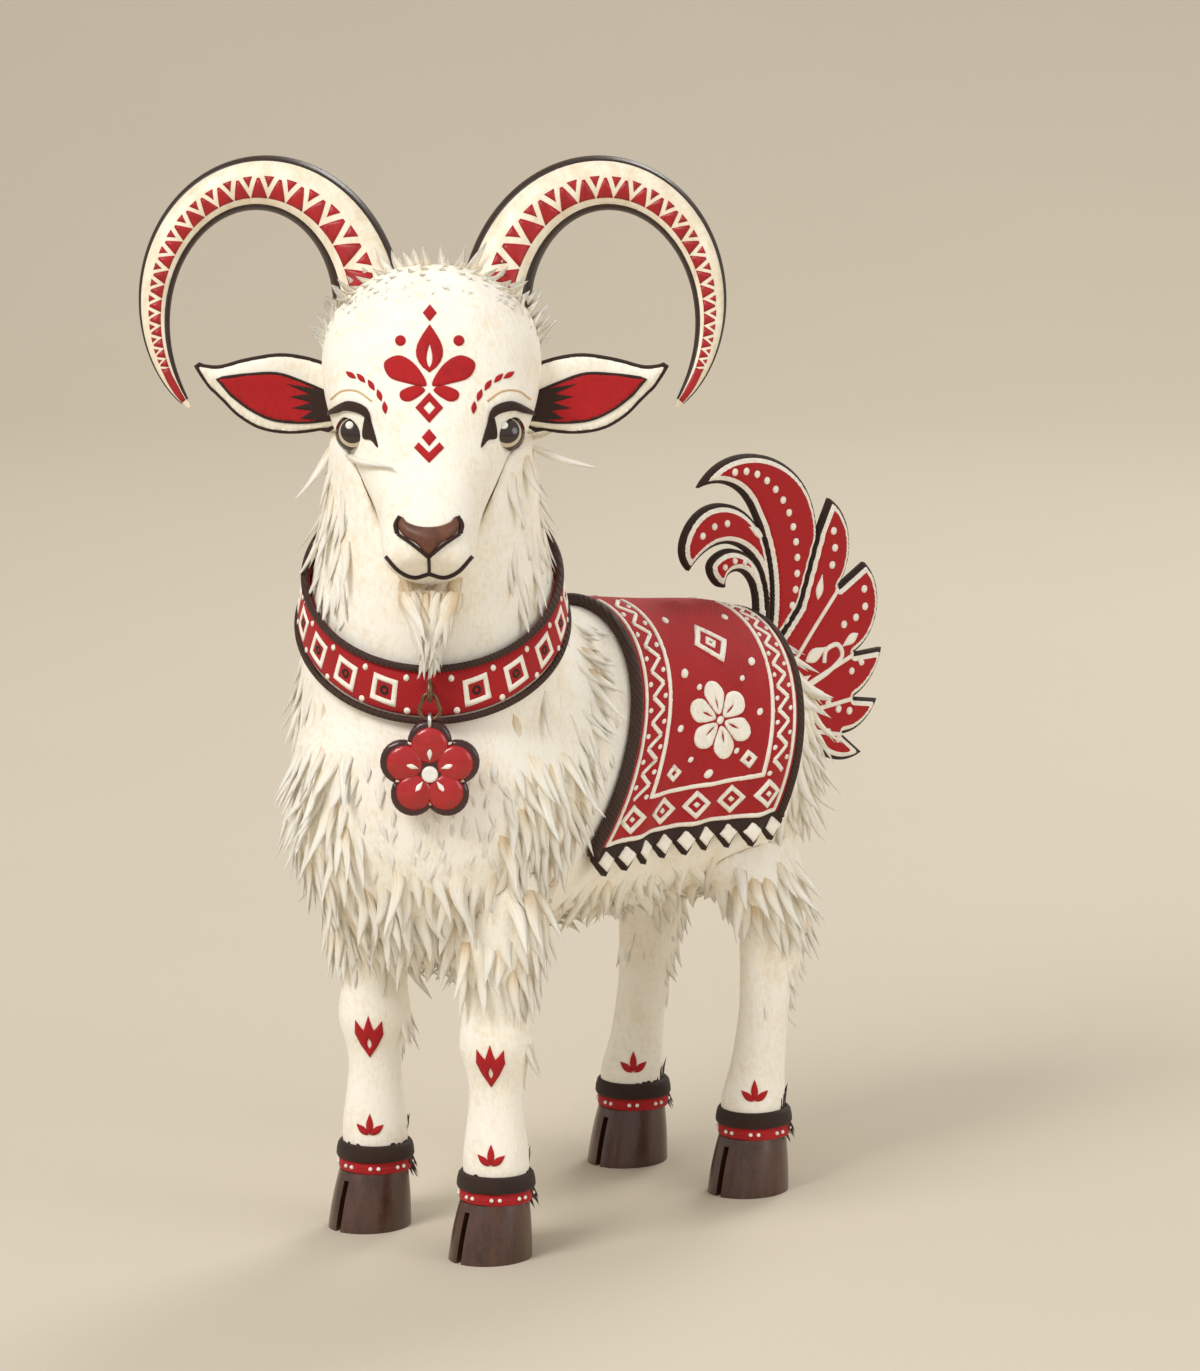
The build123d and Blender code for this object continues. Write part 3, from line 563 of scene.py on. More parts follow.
def inside(points, loops):
    """Whether points are inside closed loops, by the even-odd rule."""
    result = np.zeros(len(points), bool)
    x, y = points[:, 0], points[:, 1]
    for loop in loops:
        for (x0, y0), (x1, y1) in zip(loop, np.roll(loop, -1, 0)):
            crosses = (y0 > y) != (y1 > y)
            if crosses.any():
                at = x0 + (y - y0) * (x1 - x0) / ((y1 - y0) if y1 != y0 else 1e-12)
                result ^= crosses & (x < at)
    return result


def edge_distance(points, loops):
    """The distance from points to the nearest side of the loops."""
    best = np.full(len(points), 1e9)
    for loop in loops:
        a, b = loop, np.roll(loop, -1, 0)
        side = b - a
        length = np.maximum((side**2).sum(1), 1e-12)
        for k in range(len(a)):
            t = np.clip(((points - a[k]) @ side[k]) / length[k], 0, 1)
            best = np.minimum(best, np.linalg.norm(points - (a[k] + t[:, None] * side[k]), axis=1))
    return best


def fill(loops, spacing):
    """Triangles inside closed loops. Returns the points, triangles, boundary pairs and edge distances."""
    dense = [densify(loop, spacing) for loop in loops]
    outline = np.concatenate(dense)
    low, high = outline.min(0), outline.max(0)
    xs = np.arange(low[0] + spacing * 0.5, high[0], spacing)
    ys = np.arange(low[1] + spacing * 0.5, high[1], spacing * 0.87)
    inner = np.array([(x + (spacing * 0.5 if row % 2 else 0), y) for row, y in enumerate(ys) for x in xs])
    if len(inner):
        keep = inside(inner, dense)
        keep[keep] = edge_distance(inner[keep], dense) > spacing * 0.45
        inner = inner[keep]
    every = np.concatenate([outline, inner]) if len(inner) else outline
    edges, start = [], 0
    for loop in dense:
        count = len(loop)
        edges += [(start + k, start + (k + 1) % count) for k in range(count)]
        start += count
    verts, _, triangles, _, _, _ = delaunay_2d_cdt([Vector(p) for p in every], edges, [], 0, 1e-7)
    verts = np.array([tuple(v) for v in verts])
    triangles = np.array([t for t in triangles if len(t) == 3])
    triangles = triangles[inside(verts[triangles].mean(1), dense)]
    counts = {}
    for t in triangles:
        for a, b in ((t[0], t[1]), (t[1], t[2]), (t[2], t[0])):
            counts.setdefault((min(a, b), max(a, b)), []).append((a, b))
    rim = [pairs[0] for pairs in counts.values() if len(pairs) == 1]
    return verts, triangles, rim, edge_distance(verts, dense)


def applique(bag, loops, surface, height=0.35, puff=0.25, base=-0.4, spacing=1.0, soft=0.8):
    """Adds a raised shape that follows a surface. The surface maps (u, v) in mm to points and normals."""
    verts, triangles, rim, depth = fill([np.asarray(l, float) for l in loops], spacing)
    points, normals = surface(verts)
    dome = height + puff * np.sqrt(np.clip(depth / soft, 0, 1))
    top = points + normals * dome[:, None] * MM
    bottom = points + normals * base * MM
    count = len(verts)
    ring = sorted({int(i) for pair in rim for i in pair})
    index = {v: count + k for k, v in enumerate(ring)}
    flip = np.dot(np.cross(top[triangles[:, 1]] - top[triangles[:, 0]],
                           top[triangles[:, 2]] - top[triangles[:, 0]]).sum(0), normals.mean(0)) < 0
    faces = [tuple(t[::-1]) if flip else tuple(t) for t in triangles]
    for a, b in rim:
        quad = (b, a, index[int(a)], index[int(b)])
        faces.append(quad[::-1] if flip else quad)
    cloth = np.concatenate([verts, verts[ring]])
    cloth = np.column_stack([cloth, np.zeros(len(cloth))])
    edge = np.concatenate([depth, np.zeros(len(ring))])
    bag.add(np.concatenate([top, bottom[ring]]), faces, cloth=cloth, edge=edge)


def circle(x, y, radius, sides=18, squash=1.0):
    angles = np.arange(sides) * 2 * math.pi / sides
    return np.column_stack([x + radius * np.cos(angles), y + radius * squash * np.sin(angles)])


def diamond(x, y, half_width, half_height):
    return np.array([(x, y - half_height), (x + half_width, y), (x, y + half_height), (x - half_width, y)])


def leaf(x, y, length, width, angle, fullness=0.45):
    """A pointed leaf from a root point, in a direction given in degrees from +u."""
    t = np.linspace(0, 1, 10)
    half = width / 2 * np.sin(math.pi * t**(math.log(0.5) / math.log(fullness)))
    upper = np.column_stack([t * length, half])
    lower = np.column_stack([t[::-1] * length, -half[::-1]])[1:-1]
    shape = np.concatenate([upper, lower])
    c, s = math.cos(math.radians(angle)), math.sin(math.radians(angle))
    return shape @ np.array([[c, s], [-s, c]]) + (x, y)


def strip(points, width):
    """A band of even width along an open line, as a closed loop."""
    points = np.asarray(points, float)
    ahead = np.gradient(points, axis=0)
    ahead = unit(ahead)
    left = np.column_stack([-ahead[:, 1], ahead[:, 0]]) * width / 2
    return np.concatenate([points + left, (points - left)[::-1]])


# ------------------------------------------------------------------ surfaces to work on
def mesh_tree(*objects):
    points, faces, base = [], [], 0
    for ob in objects:
        points += [ob.matrix_world @ v.co for v in ob.data.vertices]
        faces += [tuple(base + i for i in p.vertices) for p in ob.data.polygons]
        base += len(ob.data.vertices)
    return BVHTree.FromPolygons(points, faces)


def remeshed(name, nodes, voxel, smooth_steps, sculpt=None):
    """One skin around several CAD nodes, as arrays of points and faces."""
    copies = []
    for node in nodes:
        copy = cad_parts[node].copy()
        copy.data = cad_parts[node].data.copy()
        copy.parent = None
        bpy.context.scene.collection.objects.link(copy)
        copies.append(copy)
    with bpy.context.temp_override(active_object=copies[0], selected_editable_objects=copies,
                                   selected_objects=copies, object=copies[0]):
        bpy.ops.object.join()
    skin = copies[0]
    skin.name = name
    remesh = skin.modifiers.new("remesh", "REMESH")
    remesh.mode = "VOXEL"
    remesh.voxel_size = voxel * MM
    if smooth_steps:
        relax = skin.modifiers.new("relax", "SMOOTH")
        relax.factor = 0.5
        relax.iterations = smooth_steps
    graph = bpy.context.evaluated_depsgraph_get()
    made = bpy.data.meshes.new_from_object(skin.evaluated_get(graph))
    points = np.zeros(len(made.vertices) * 3)
    made.vertices.foreach_get("co", points)
    points = points.reshape(-1, 3)
    normals = np.zeros(len(made.vertices) * 3)
    made.vertices.foreach_get("normal", normals)
    normals = normals.reshape(-1, 3)
    faces = [tuple(p.vertices) for p in made.polygons]
    bpy.data.objects.remove(skin)
    if sculpt:
        points = sculpt(points, normals)
    return points, faces


def cast(tree, starts, ways, fallback=True):
    """Where rays first meet a surface, with the normals there."""
    points, normals = [], []
    for start, way in zip(starts, ways):
        hit, normal, _, _ = tree.ray_cast(Vector(start), Vector(way))
        if hit is None and fallback:
            hit, normal, _, _ = tree.find_nearest(Vector(start) + Vector(way) * 0.3)
        if np.dot(normal, way) > 0:
            normal = -normal
        points.append(tuple(hit))
        normals.append(tuple(normal))
    return np.array(points), np.array(normals)


def seen_surface(tree, centre, toward=TO_CAMERA, across=SIDE, above=PICTURE_UP, far=0.15):
    """Maps flat (u, v) to the surface met when looking along a direction."""
    def surface(uv):
        starts = centre + (np.outer(uv[:, 0], across) + np.outer(uv[:, 1], above)) * MM + toward * far
        points, normals = cast(tree, starts, np.broadcast_to(-toward, starts.shape))
        return points, unit(normals + toward * 0.35)
    return surface


# ------------------------------------------------------------------ wool
def grow_locks(bag, roots, normals, combs, lengths, widths, lift, curl, sections=7, sides=7, sink=1.5,
               flat=0.42, lift_power=1.7):
    """Adds tapered, slightly curled locks that lie along the comb direction and lift at their tips."""
    count = len(roots)
    if not count:
        return
    n = unit(normals)
    d = combs - n * (combs * n).sum(1, keepdims=True)
    d = unit(d)
    b = np.cross(n, d)
    lengths, widths = np.asarray(lengths) * MM, np.asarray(widths) * MM
    lift = np.broadcast_to(lift, (count,))
    phase = rng.uniform(0, 2 * math.pi, count)
    bend = rng.uniform(-1, 1, count) * curl
    vary = rng.uniform(0, 1, count)
    s = np.linspace(0, 1, sections)
    swell = (0.40 + 0.60 * np.sin(np.minimum(s / 0.3, 1) * math.pi / 2)) * (1 - s**1.5) ** 0.8
    swell[-1] = 0.02
    centre = (roots[:, None] + d[:, None] * (lengths[:, None] * s)[..., None]
              + n[:, None] * ((lengths * lift)[:, None] * s**lift_power - sink * MM)[..., None]
              + b[:, None] * ((lengths * bend)[:, None] * s**2
                              + (lengths * curl * 0.25)[:, None] * np.sin(s * 5 + phase[:, None]))[..., None])
    angle = -math.pi / 2 + np.arange(sides) * 2 * math.pi / sides
    ridge = 1 + 0.12 * np.cos(3 * angle)
    half = widths[:, None, None] * 0.5 * swell[None, :, None]
    ring = (b[:, None, None] * (half * np.cos(angle) * ridge)[..., None]
            + n[:, None, None] * (half * flat * np.sin(angle) * ridge)[..., None])
    points = (centre[:, :, None] + ring).reshape(-1, 3)
    along = np.broadcast_to(s[None, :, None], (count, sections, sides)).ravel()
    tone = np.broadcast_to(vary[:, None, None], (count, sections, sides)).ravel()
    turn = np.broadcast_to((np.arange(sides) / sides)[None, None], (count, sections, sides)).ravel()
    strand = np.column_stack([turn, along, tone])
    per = sections * sides
    r, c = np.meshgrid(np.arange(sections - 1), np.arange(sides), indexing="ij")
    c2 = (c + 1) % sides
    here, there = r * sides, (r + 1) * sides
    quad = np.stack([here + c, here + c2, there + c2, there + c], -1).reshape(-1, 4)
    faces = (quad[None] + (np.arange(count) * per)[:, None, None]).reshape(-1, 4)
    bag.add(points, faces, along=along, vary=tone, strand=strand)


def scatter(points, faces, spacing, wanted):
    """Evenly spread surface samples where wanted(points, normals) holds."""
    tris = []
    for f in faces:
        tris.append((f[0], f[1], f[2]))
        if len(f) == 4:
            tris.append((f[0], f[2], f[3]))
    tris = np.array(tris)
    a, b, c = points[tris[:, 0]], points[tris[:, 1]], points[tris[:, 2]]
    cross = np.cross(b - a, c - a)
    area = np.linalg.norm(cross, axis=1) / 2
    total = area.sum() / MM**2
    count = int(total / spacing**2 * 5)
    pick = rng.choice(len(tris), count, p=area / area.sum())
    u, v = rng.random(count), rng.random(count)
    over = u + v > 1
    u[over], v[over] = 1 - u[over], 1 - v[over]
    found = a[pick] + (b[pick] - a[pick]) * u[:, None] + (c[pick] - a[pick]) * v[:, None]
    normal = unit(cross[pick])
    keep = wanted(found, normal)
    found, normal = found[keep], normal[keep]
    cell = spacing * MM
    taken, chosen = {}, []
    for k, p in enumerate(found):
        key = tuple(np.floor(p / cell).astype(int))
        near = False
        for dx in (-1, 0, 1):
            for dy in (-1, 0, 1):
                for dz in (-1, 0, 1):
                    for q in taken.get((key[0] + dx, key[1] + dy, key[2] + dz), ()):
                        if ((p - q) ** 2).sum() < cell * cell:
                            near = True
        if not near:
            taken.setdefault(key, []).append(p)
            chosen.append(k)
    return found[chosen], normal[chosen]


# ------------------------------------------------------------------ coat: skin and locks
BLANKET_TOP = 184.0
BLANKET_HEM = 117.0
BLANKET_FRONT = (5.0, -27.0)
BLANKET_REAR = (74.0, 53.0)
BLANKET_LIFT = 0.7
BLANKET_THICK = 1.7
NECK_AXIS = (2.0, 196.0)
COLLAR_TILT = math.radians(31)
COAT_VOXEL = 1.9
LIMB_VOXEL = 1.0
SHIN_COVER = 4.2
SHIN_LOW = 36
SHIN_HIGH = 104
SHIN_BLEND = 8


def local(points):
    """Points of the CAD frame as millimetres from the middle of the hooves."""
    return (points - STAND) / MM


def head_frame(points):
    """Forward, side and height of points in the turned head's frame, in millimetres."""
    p = local(points) - (0, SHOULDER_Y, 0)
    return p @ FACING, p @ SIDE, p[:, 2]


def blanket_edges(z):
    share = np.clip((BLANKET_TOP - z) / (BLANKET_TOP - BLANKET_HEM), 0, 1.15)
    front = BLANKET_FRONT[0] + (BLANKET_FRONT[1] - BLANKET_FRONT[0]) * share
    rear = BLANKET_REAR[0] + (BLANKET_REAR[1] - BLANKET_REAR[0]) * share
    return front, rear


def beside_blanket(points):
    """How far points are outside the blanket, in millimetres. Negative under it."""
    p = local(points)
    front, rear = blanket_edges(p[:, 2])
    return np.maximum(np.maximum(front - p[:, 1], p[:, 1] - rear), BLANKET_HEM - 4 - p[:, 2])


def collar_height(points):
    """The height of points above the collar's middle plane, in millimetres."""
    forward, _, height = head_frame(points)
    return ((forward - NECK_AXIS[0]) * math.sin(COLLAR_TILT)
            + (height - NECK_AXIS[1]) * math.cos(COLLAR_TILT))


def coat_comb(points, normals):
    """The direction the coat is combed in."""
    p = local(points)
    back = np.clip((p[:, 1] + 50) / 60, 0, 1)
    comb = np.column_stack([np.zeros(len(p)), 0.55 * back, -np.ones(len(p))])
    rump = np.clip((p[:, 1] - 60) / 30, 0, 1)
    comb[:, 1] += 0.15 * rump
    spine = np.clip((normals[:, 2] - 0.4) / 0.4, 0, 1)
    comb[:, 1] += spine * 1.4 * back
    outward = normals * 0.25
    belly = np.clip(-normals[:, 2], 0, 1)[:, None]
    return comb + outward * (1 - belly) + belly * np.array((0, 0.3, -0.8))


def build_coat():
    nodes = ["body_fleece", "straw_core", "core_bindings", "neck_fleece", "neck_dowel"]
    points, faces = remeshed("coat", nodes, COAT_VOXEL, 10)
    skin = make_piece("coat_skin", points, faces, "skin", replaces=["body_fleece", "neck_fleece"])

    def wanted(found, normal):
        gap = beside_blanket(found)
        band = np.abs(collar_height(found)) > 9.5
        forward, side, height = head_frame(found)
        inside_head = (height > 214) & (forward > -2) & (np.abs(side) < 24)
        neck_top = height > 268
        return (gap > 0.3) & (band | (height < 150)) & ~inside_head & ~neck_top

    roots, normals = scatter(points, faces, 4.3, wanted)
    forward, side, height = head_frame(roots)
    p = local(roots)
    length = rng.uniform(16, 25, len(roots))
    width = rng.uniform(4.4, 6.8, len(roots))
    lift = rng.uniform(0.08, 0.2, len(roots)) + 0.14 * (rng.random(len(roots)) > 0.8)
    gap = beside_blanket(roots)
    under_hem = (gap < 14) & (p[:, 2] < BLANKET_HEM - 4)
    before = np.clip((gap + 2) / 24, 0.25, 1)
    fore = p[:, 1] < blanket_edges(p[:, 2])[0]
    length = np.where(fore & (gap < 20), length * before, length)
    lift = np.where(gap < 12, lift * 0.5, lift)
    lift = np.where(under_hem, 0.03, lift)
    above = collar_height(roots)
    near_collar = np.clip((np.abs(above) - 7) / 16, 0.3, 1)
    length = np.where(above > 0, length * near_collar, length)
    pendant = (np.abs(side) < 20) & (height > 128) & (height < 182) & (forward > 25)
    length = np.where(pendant, np.minimum(length, 13), length)
    lift = np.where(pendant, 0.06, lift)
    combs = coat_comb(roots, normals)
    combs[:, 1] *= np.where(fore, np.clip((gap - 16) / 50, 0, 1), 1)
    throat = (np.abs(side) < 24) & (height > 184) & (forward > 12) & (above > 4)
    length = np.where(throat, np.minimum(length, 15), length)
    groups = {
        "neck": (height > 178) & ~throat,
        "chest": (height <= 178) & (p[:, 1] < -30),
        "flanks": (height <= 178) & (p[:, 1] >= -30) & (p[:, 1] < 45),
        "rump": (height <= 178) & (p[:, 1] >= 45),
    }
    for name, chosen in groups.items():
        bag = Bag()
        grow_locks(bag, roots[chosen], normals[chosen], combs[chosen], length[chosen], width[chosen],
                   lift[chosen], 0.20)
        bag.piece(f"wool_{name}", "wool")
    bag = Bag()
    # The throat locks get the darker wool: painted shade under the head.
    grow_locks(bag, roots[throat], normals[throat], combs[throat], length[throat], width[throat], 0.06, 0.2)
    bag.piece("wool_throat", "wool_shade")
    return mesh_tree(skin)


def cover_dowel(leg):
    """A sculpt that keeps the leg's wool skin outside its dowel, like the ridge of a shin."""
    axis = node_middle(f"{leg}_leg_dowel")[:2]

    def sculpt(points, normals):
        height = local(points)[:, 2]
        share = np.clip((height - SHIN_LOW) / SHIN_BLEND, 0, 1)
        share *= np.clip((SHIN_HIGH - height) / SHIN_BLEND, 0, 1)
        away = points[:, :2] - axis
        far = np.maximum(np.linalg.norm(away, axis=1), 0.1 * MM)
        wanted = (far**4 + (SHIN_COVER * MM)**4) ** 0.25
        points[:, :2] += away * (share * (wanted / far - 1))[:, None]
        return points
    return sculpt


def build_legs():
    for leg in LEGS:
        nodes = [f"{leg}_leg_fleece", f"{leg}_leg_dowel"]
        points, faces = remeshed(leg, nodes, LIMB_VOXEL, 5, cover_dowel(leg))
        skin = make_piece(f"{leg}_leg_skin", points, faces, "skin", replaces=[f"{leg}_leg_fleece"])
        hind = leg.startswith("hind")
        low_edge = 62 if hind else 70

        def wanted(found, normal):
            p = local(found)
            behind = (normal[:, 1] > 0.35) & (p[:, 2] > 30)
            return (p[:, 2] > low_edge - 12 * normal[:, 1]) | (behind & (p[:, 2] > 34))

        roots, normals = scatter(points, faces, 4.2, wanted)
        p = local(roots)
        share = np.clip((p[:, 2] - 30) / 70, 0, 1)
        length = rng.uniform(0.8, 1.2, len(roots)) * (7 + 11 * share)
        width = rng.uniform(0.85, 1.15, len(roots)) * (3.2 + 2.8 * share)
        combs = np.column_stack([normals[:, 0] * 0.2, 0.15 + normals[:, 1] * 0.25, -np.ones(len(roots))])
        bag = Bag()
        grow_locks(bag, roots, normals, combs, length, width, rng.uniform(0.10, 0.24, len(roots)), 0.14)
        bag.piece(f"{leg}_wool", "wool")
        build_hoof(leg, mesh_tree(skin))


def ring_band(radius_low, radius_high, low, high, thick, centre):
    """A soft band round an upright axis, with rounded edges."""
    steps, corners = 64, 12
    profile = []
    for k in range(corners):
        angle = 2 * math.pi * k / corners
        c, s = math.cos(angle), math.sin(angle)
        z = (low + high) / 2 + (high - low) / 2 * np.sign(s) * abs(s) ** 0.6
        share = (z - low) / (high - low)
        radius = radius_low + (radius_high - radius_low) * share
        profile.append((radius + thick / 2 * np.sign(c) * abs(c) ** 0.6, z))
    points = []
    for k in range(steps):
        angle = 2 * math.pi * k / steps
        for radius, z in profile:
            x, y = centre + radius * np.array((math.cos(angle), math.sin(angle)))
            points.append(place(x, y, z))
    return points, grid_faces(steps, corners, True) + closing_faces(steps, corners)


def build_hoof(leg, leg_tree):
    low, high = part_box(f"{leg}_hoof_band")
    band_low, band_high = local(np.array([low, high]))
    centre = (band_low + band_high)[:2] / 2
    radius = (band_high[0] - band_low[0]) / 2
    points, faces = ring_band(radius - 0.9, radius - 1.1, band_low[2] - 0.2, band_high[2] + 0.4, 2.2, centre)
    cloth = [(math.atan2(p[1] - STAND[1], p[0] - STAND[0]) * radius, p[2] / MM, 0) for p in points]
    bag = Bag()
    bag.add(points, faces, cloth=cloth)
    bag.piece(f"{leg}_band", "cloth", replaces=[f"{leg}_hoof_band"])
    dots = Bag()
    height = (band_low[2] + band_high[2]) / 2
    for k in range(8):
        for offset in (-0.11, 0.11):
            angle = -math.pi / 2 + 2 * math.pi * k / 8 + offset
            reach = radius + 0.1
            x, y = centre + reach * np.array((math.cos(angle), math.sin(angle)))
            add_bead(dots, place(x, y, height), 0.62)
    dots.piece(f"{leg}_band_dots", "bead")
    low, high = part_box(f"{leg}_hoof_cuff")
    cuff_low, cuff_high = local(np.array([low, high]))
    points, faces = ring_band(radius - 0.4, radius - 1.2, cuff_low[2] - 0.4, cuff_high[2] - 1.0, 3.0, centre)
    bag = Bag()
    bag.add(points, faces)
    bag.piece(f"{leg}_cuff", "brown", replaces=[f"{leg}_hoof_cuff"])
    fur = Bag()
    count = 70
    angles = rng.uniform(0, 2 * math.pi, count)
    heights = rng.uniform(cuff_low[2] + 1.2, cuff_high[2] - 0.2, count)
    normals = np.column_stack([np.cos(angles), np.sin(angles), np.zeros(count)])
    roots = np.array([place(centre[0], centre[1], z) for z in heights]) + normals * (radius + 0.2) * MM
    behind = np.clip(normals[:, 1], 0, 1)
    length = rng.uniform(4.5, 6.0, count) + 5.0 * behind
    combs = np.column_stack([normals[:, 0] * 0.2, normals[:, 1] * 0.2 + 0.1, -np.ones(count)])
    grow_locks(fur, roots, normals, combs, length, rng.uniform(2.4, 3.4, count), 0.12 + 0.3 * behind, 0.12)
    count = 60
    angles = rng.uniform(0, 2 * math.pi, count)
    normals = np.column_stack([np.cos(angles), np.sin(angles), np.zeros(count)])
    middle = place(centre[0], centre[1], cuff_high[2] - 2.2)
    roots = np.array([middle] * count) + normals * (radius - 0.3) * MM
    behind = np.clip(normals[:, 1], 0, 1)
    combs = np.column_stack([normals[:, 0] * 0.1, normals[:, 1] * 0.1, np.ones(count)])
    length = rng.uniform(2.6, 3.8, count) + 5 * behind
    grow_locks(fur, roots, normals, combs, length, rng.uniform(2.0, 2.8, count), 0.02 + 0.2 * behind, 0.1)
    fur.piece(f"{leg}_cuff_fur", "dark_locks")
    sprig = Bag()
    aim = place(centre[0], centre[1], 31)
    toward = FACING if leg.startswith("hind") else unit(FACING * 0.8 + np.array((0, -1, 0)) * 0.2)
    across = unit(np.cross(UP, toward))
    surface = seen_surface(leg_tree, aim, toward, across, UP, 0.04)
    for angle, length in ((90, 6.4), (140, 4.8), (40, 4.8)):
        applique(sprig, [leaf(0.0 + 0.5 * math.cos(math.radians(angle)), -1.5, length, 2.1, angle)], surface,
                 0.25, 0.25, -0.6, 0.7)
    if not leg.startswith("hind"):
        knee = seen_surface(leg_tree, place(centre[0], centre[1], 60), toward, across, UP, 0.04)
        tulip = [(0, -7.0), (2.6, -3.0), (4.3, 0.6), (4.0, 4.8), (2.3, 2.6), (1.5, 1.8), (0, 6.4),
                 (-1.5, 1.8), (-2.3, 2.6), (-4.0, 4.8), (-4.3, 0.6), (-2.6, -3.0)]
        applique(sprig, [tulip, leaf(0, -4.2, 3.6, 1.3, 90)], knee, 0.3, 0.3, -0.6, 0.6)
    sprig.piece(f"{leg}_sprig", "red")


def add_bead(bag, centre, radius, squash=1.0, axis=None, rings=8, sides=14):
    """A small round bead, flattened along an axis by squash."""
    axis = unit(axis) if axis is not None else UP
    across = unit(np.cross(axis, SIDE if abs(np.dot(axis, SIDE)) < 0.9 else UP))
    over = np.cross(axis, across)
    points = []
    for r in range(rings + 1):
        theta = math.pi * r / rings
        size = max(math.sin(theta), 0.02)
        for s in range(sides):
            phi = 2 * math.pi * s / sides
            points.append(centre + (across * math.cos(phi) * size + over * math.sin(phi) * size
                                    + axis * math.cos(theta) * squash) * radius * MM)
    bag.add(points, [f[::-1] for f in grid_faces(rings + 1, sides, True)])


# ------------------------------------------------------------------ head
EYE = (25.0, 21.5, 247.5)
FACE_MIDDLE = (20.0, 0.0, 250.0)


def head_sculpt(points, normals):
    """Brows, eye hollows, cheeks and muzzle, as soft moves of the head's skin."""
    forward, side, height = head_frame(points)

    def bump(at, spread, amount, way):
        nonlocal points
        f, s, h = at
        for sign in (-1, 1) if s else (1,):
            d2 = (((forward - f) / spread[0])**2 + ((side - s * sign) / spread[1])**2
                  + ((height - h) / spread[2])**2)
            move = np.exp(-d2)[:, None] * amount * MM
            direction = FACING * way[0] + SIDE * way[1] * sign + UP * way[2]
            points = points + move * direction

    bump((24, 20, 256), (14, 9, 5), 1.6, (0.8, 0.4, 0.3))
    bump((26, 15, 246), (12, 6, 8), -1.4, (0.9, 0.2, 0))
    bump((34, 12, 226), (14, 7, 12), -1.0, (0.4, 0.9, 0))
    bump((46, 9, 214), (12, 8, 6), 1.6, (0.6, 0.7, 0))
    bump((44, 0, 204), (12, 10, 5), 1.4, (0.7, 0, -0.5))
    bump((10, 29, 236), (12, 8, 12), 1.2, (0.2, 1, 0))
    return points


def build_head():
    points, faces = remeshed("head", ["head_fleece", "head_core"], LIMB_VOXEL, 6, head_sculpt)
    skin = make_piece("head_skin", points, faces, "skin", replaces=["head_fleece"])
    tree = mesh_tree(skin)
    face = seen_surface(tree, turned(*FACE_MIDDLE))
    build_face_marks(face)
    build_eyes(face)
    build_muzzle(face)
    build_head_wool(points, faces)


def build_face_marks(face):
    red = Bag()
    settings = (0.28, 0.3, -0.7, 0.6)
    applique(red, [diamond(0, 31, 2.0, 2.5)], face, *settings)
    applique(red, [leaf(0, 13.6, 14.0, 7.8, 90, 0.42), leaf(0, 15.0, 7.0, 1.7, 90, 0.4)], face, *settings)
    for sign in (-1, 1):
        side_leaf = smooth_line([(0.8, 9.8), (3.8, 15.6), (8.6, 18.6), (13.0, 16.6), (11.6, 12.4),
                                 (6.8, 10.6)], 5, True)
        applique(red, [side_leaf * (sign, 1)], face, *settings)
        low_leaf = smooth_line([(1.2, 8.4), (4.0, 9.8), (8.2, 8.2), (8.0, 5.8), (5.2, 5.4)], 5, True)
        applique(red, [low_leaf * (sign, 1)], face, *settings)
        applique(red, [circle(8.4 * sign, 22.9, 1.55)], face, *settings)
        for x, y, angle in ((22.8, 13.2, 35), (19.8, 12.2, 48), (16.8, 10.1, 60), (14.4, 7.1, 72),
                            (12.8, 3.5, 84)):
            dash = leaf(-1.9, 0, 3.8, 1.5, 0, 0.5)
            c, s = math.cos(math.radians(angle)), math.sin(math.radians(angle))
            dash = dash @ np.array([[c, s], [-s, c]]) + (x, y)
            applique(red, [dash * (sign, 1)], face, 0.25, 0.2, -0.7, 0.6)
    applique(red, [diamond(0, 3.4, 4.0, 4.4), diamond(0, 3.4, 1.7, 1.9)], face, *settings)
    applique(red, [diamond(0, -5.2, 2.1, 2.5)], face, *settings)
    chevron = [(0, -12.6), (4.3, -8.2), (3.0, -6.6), (0, -9.6), (-3.0, -6.6), (-4.3, -8.2)]
    applique(red, [chevron], face, *settings)
    red.piece("face_marks", "red")


def dome_cap(bag, centre, radius, axis, low, high, rings=8, sides=30):
    """Part of a sphere between two angles from an axis, in degrees."""
    across = unit(np.cross(UP, axis))
    above = np.cross(axis, across)
    points = []
    for r in range(rings):
        theta = math.radians(low + (high - low) * r / (rings - 1))
        for k in range(sides):
            phi = 2 * math.pi * k / sides
            way = (across * math.cos(phi) + above * math.sin(phi)) * math.sin(theta) + axis * math.cos(theta)
            points.append(centre + way * radius * MM)
    bag.add(points, grid_faces(rings, sides, True))


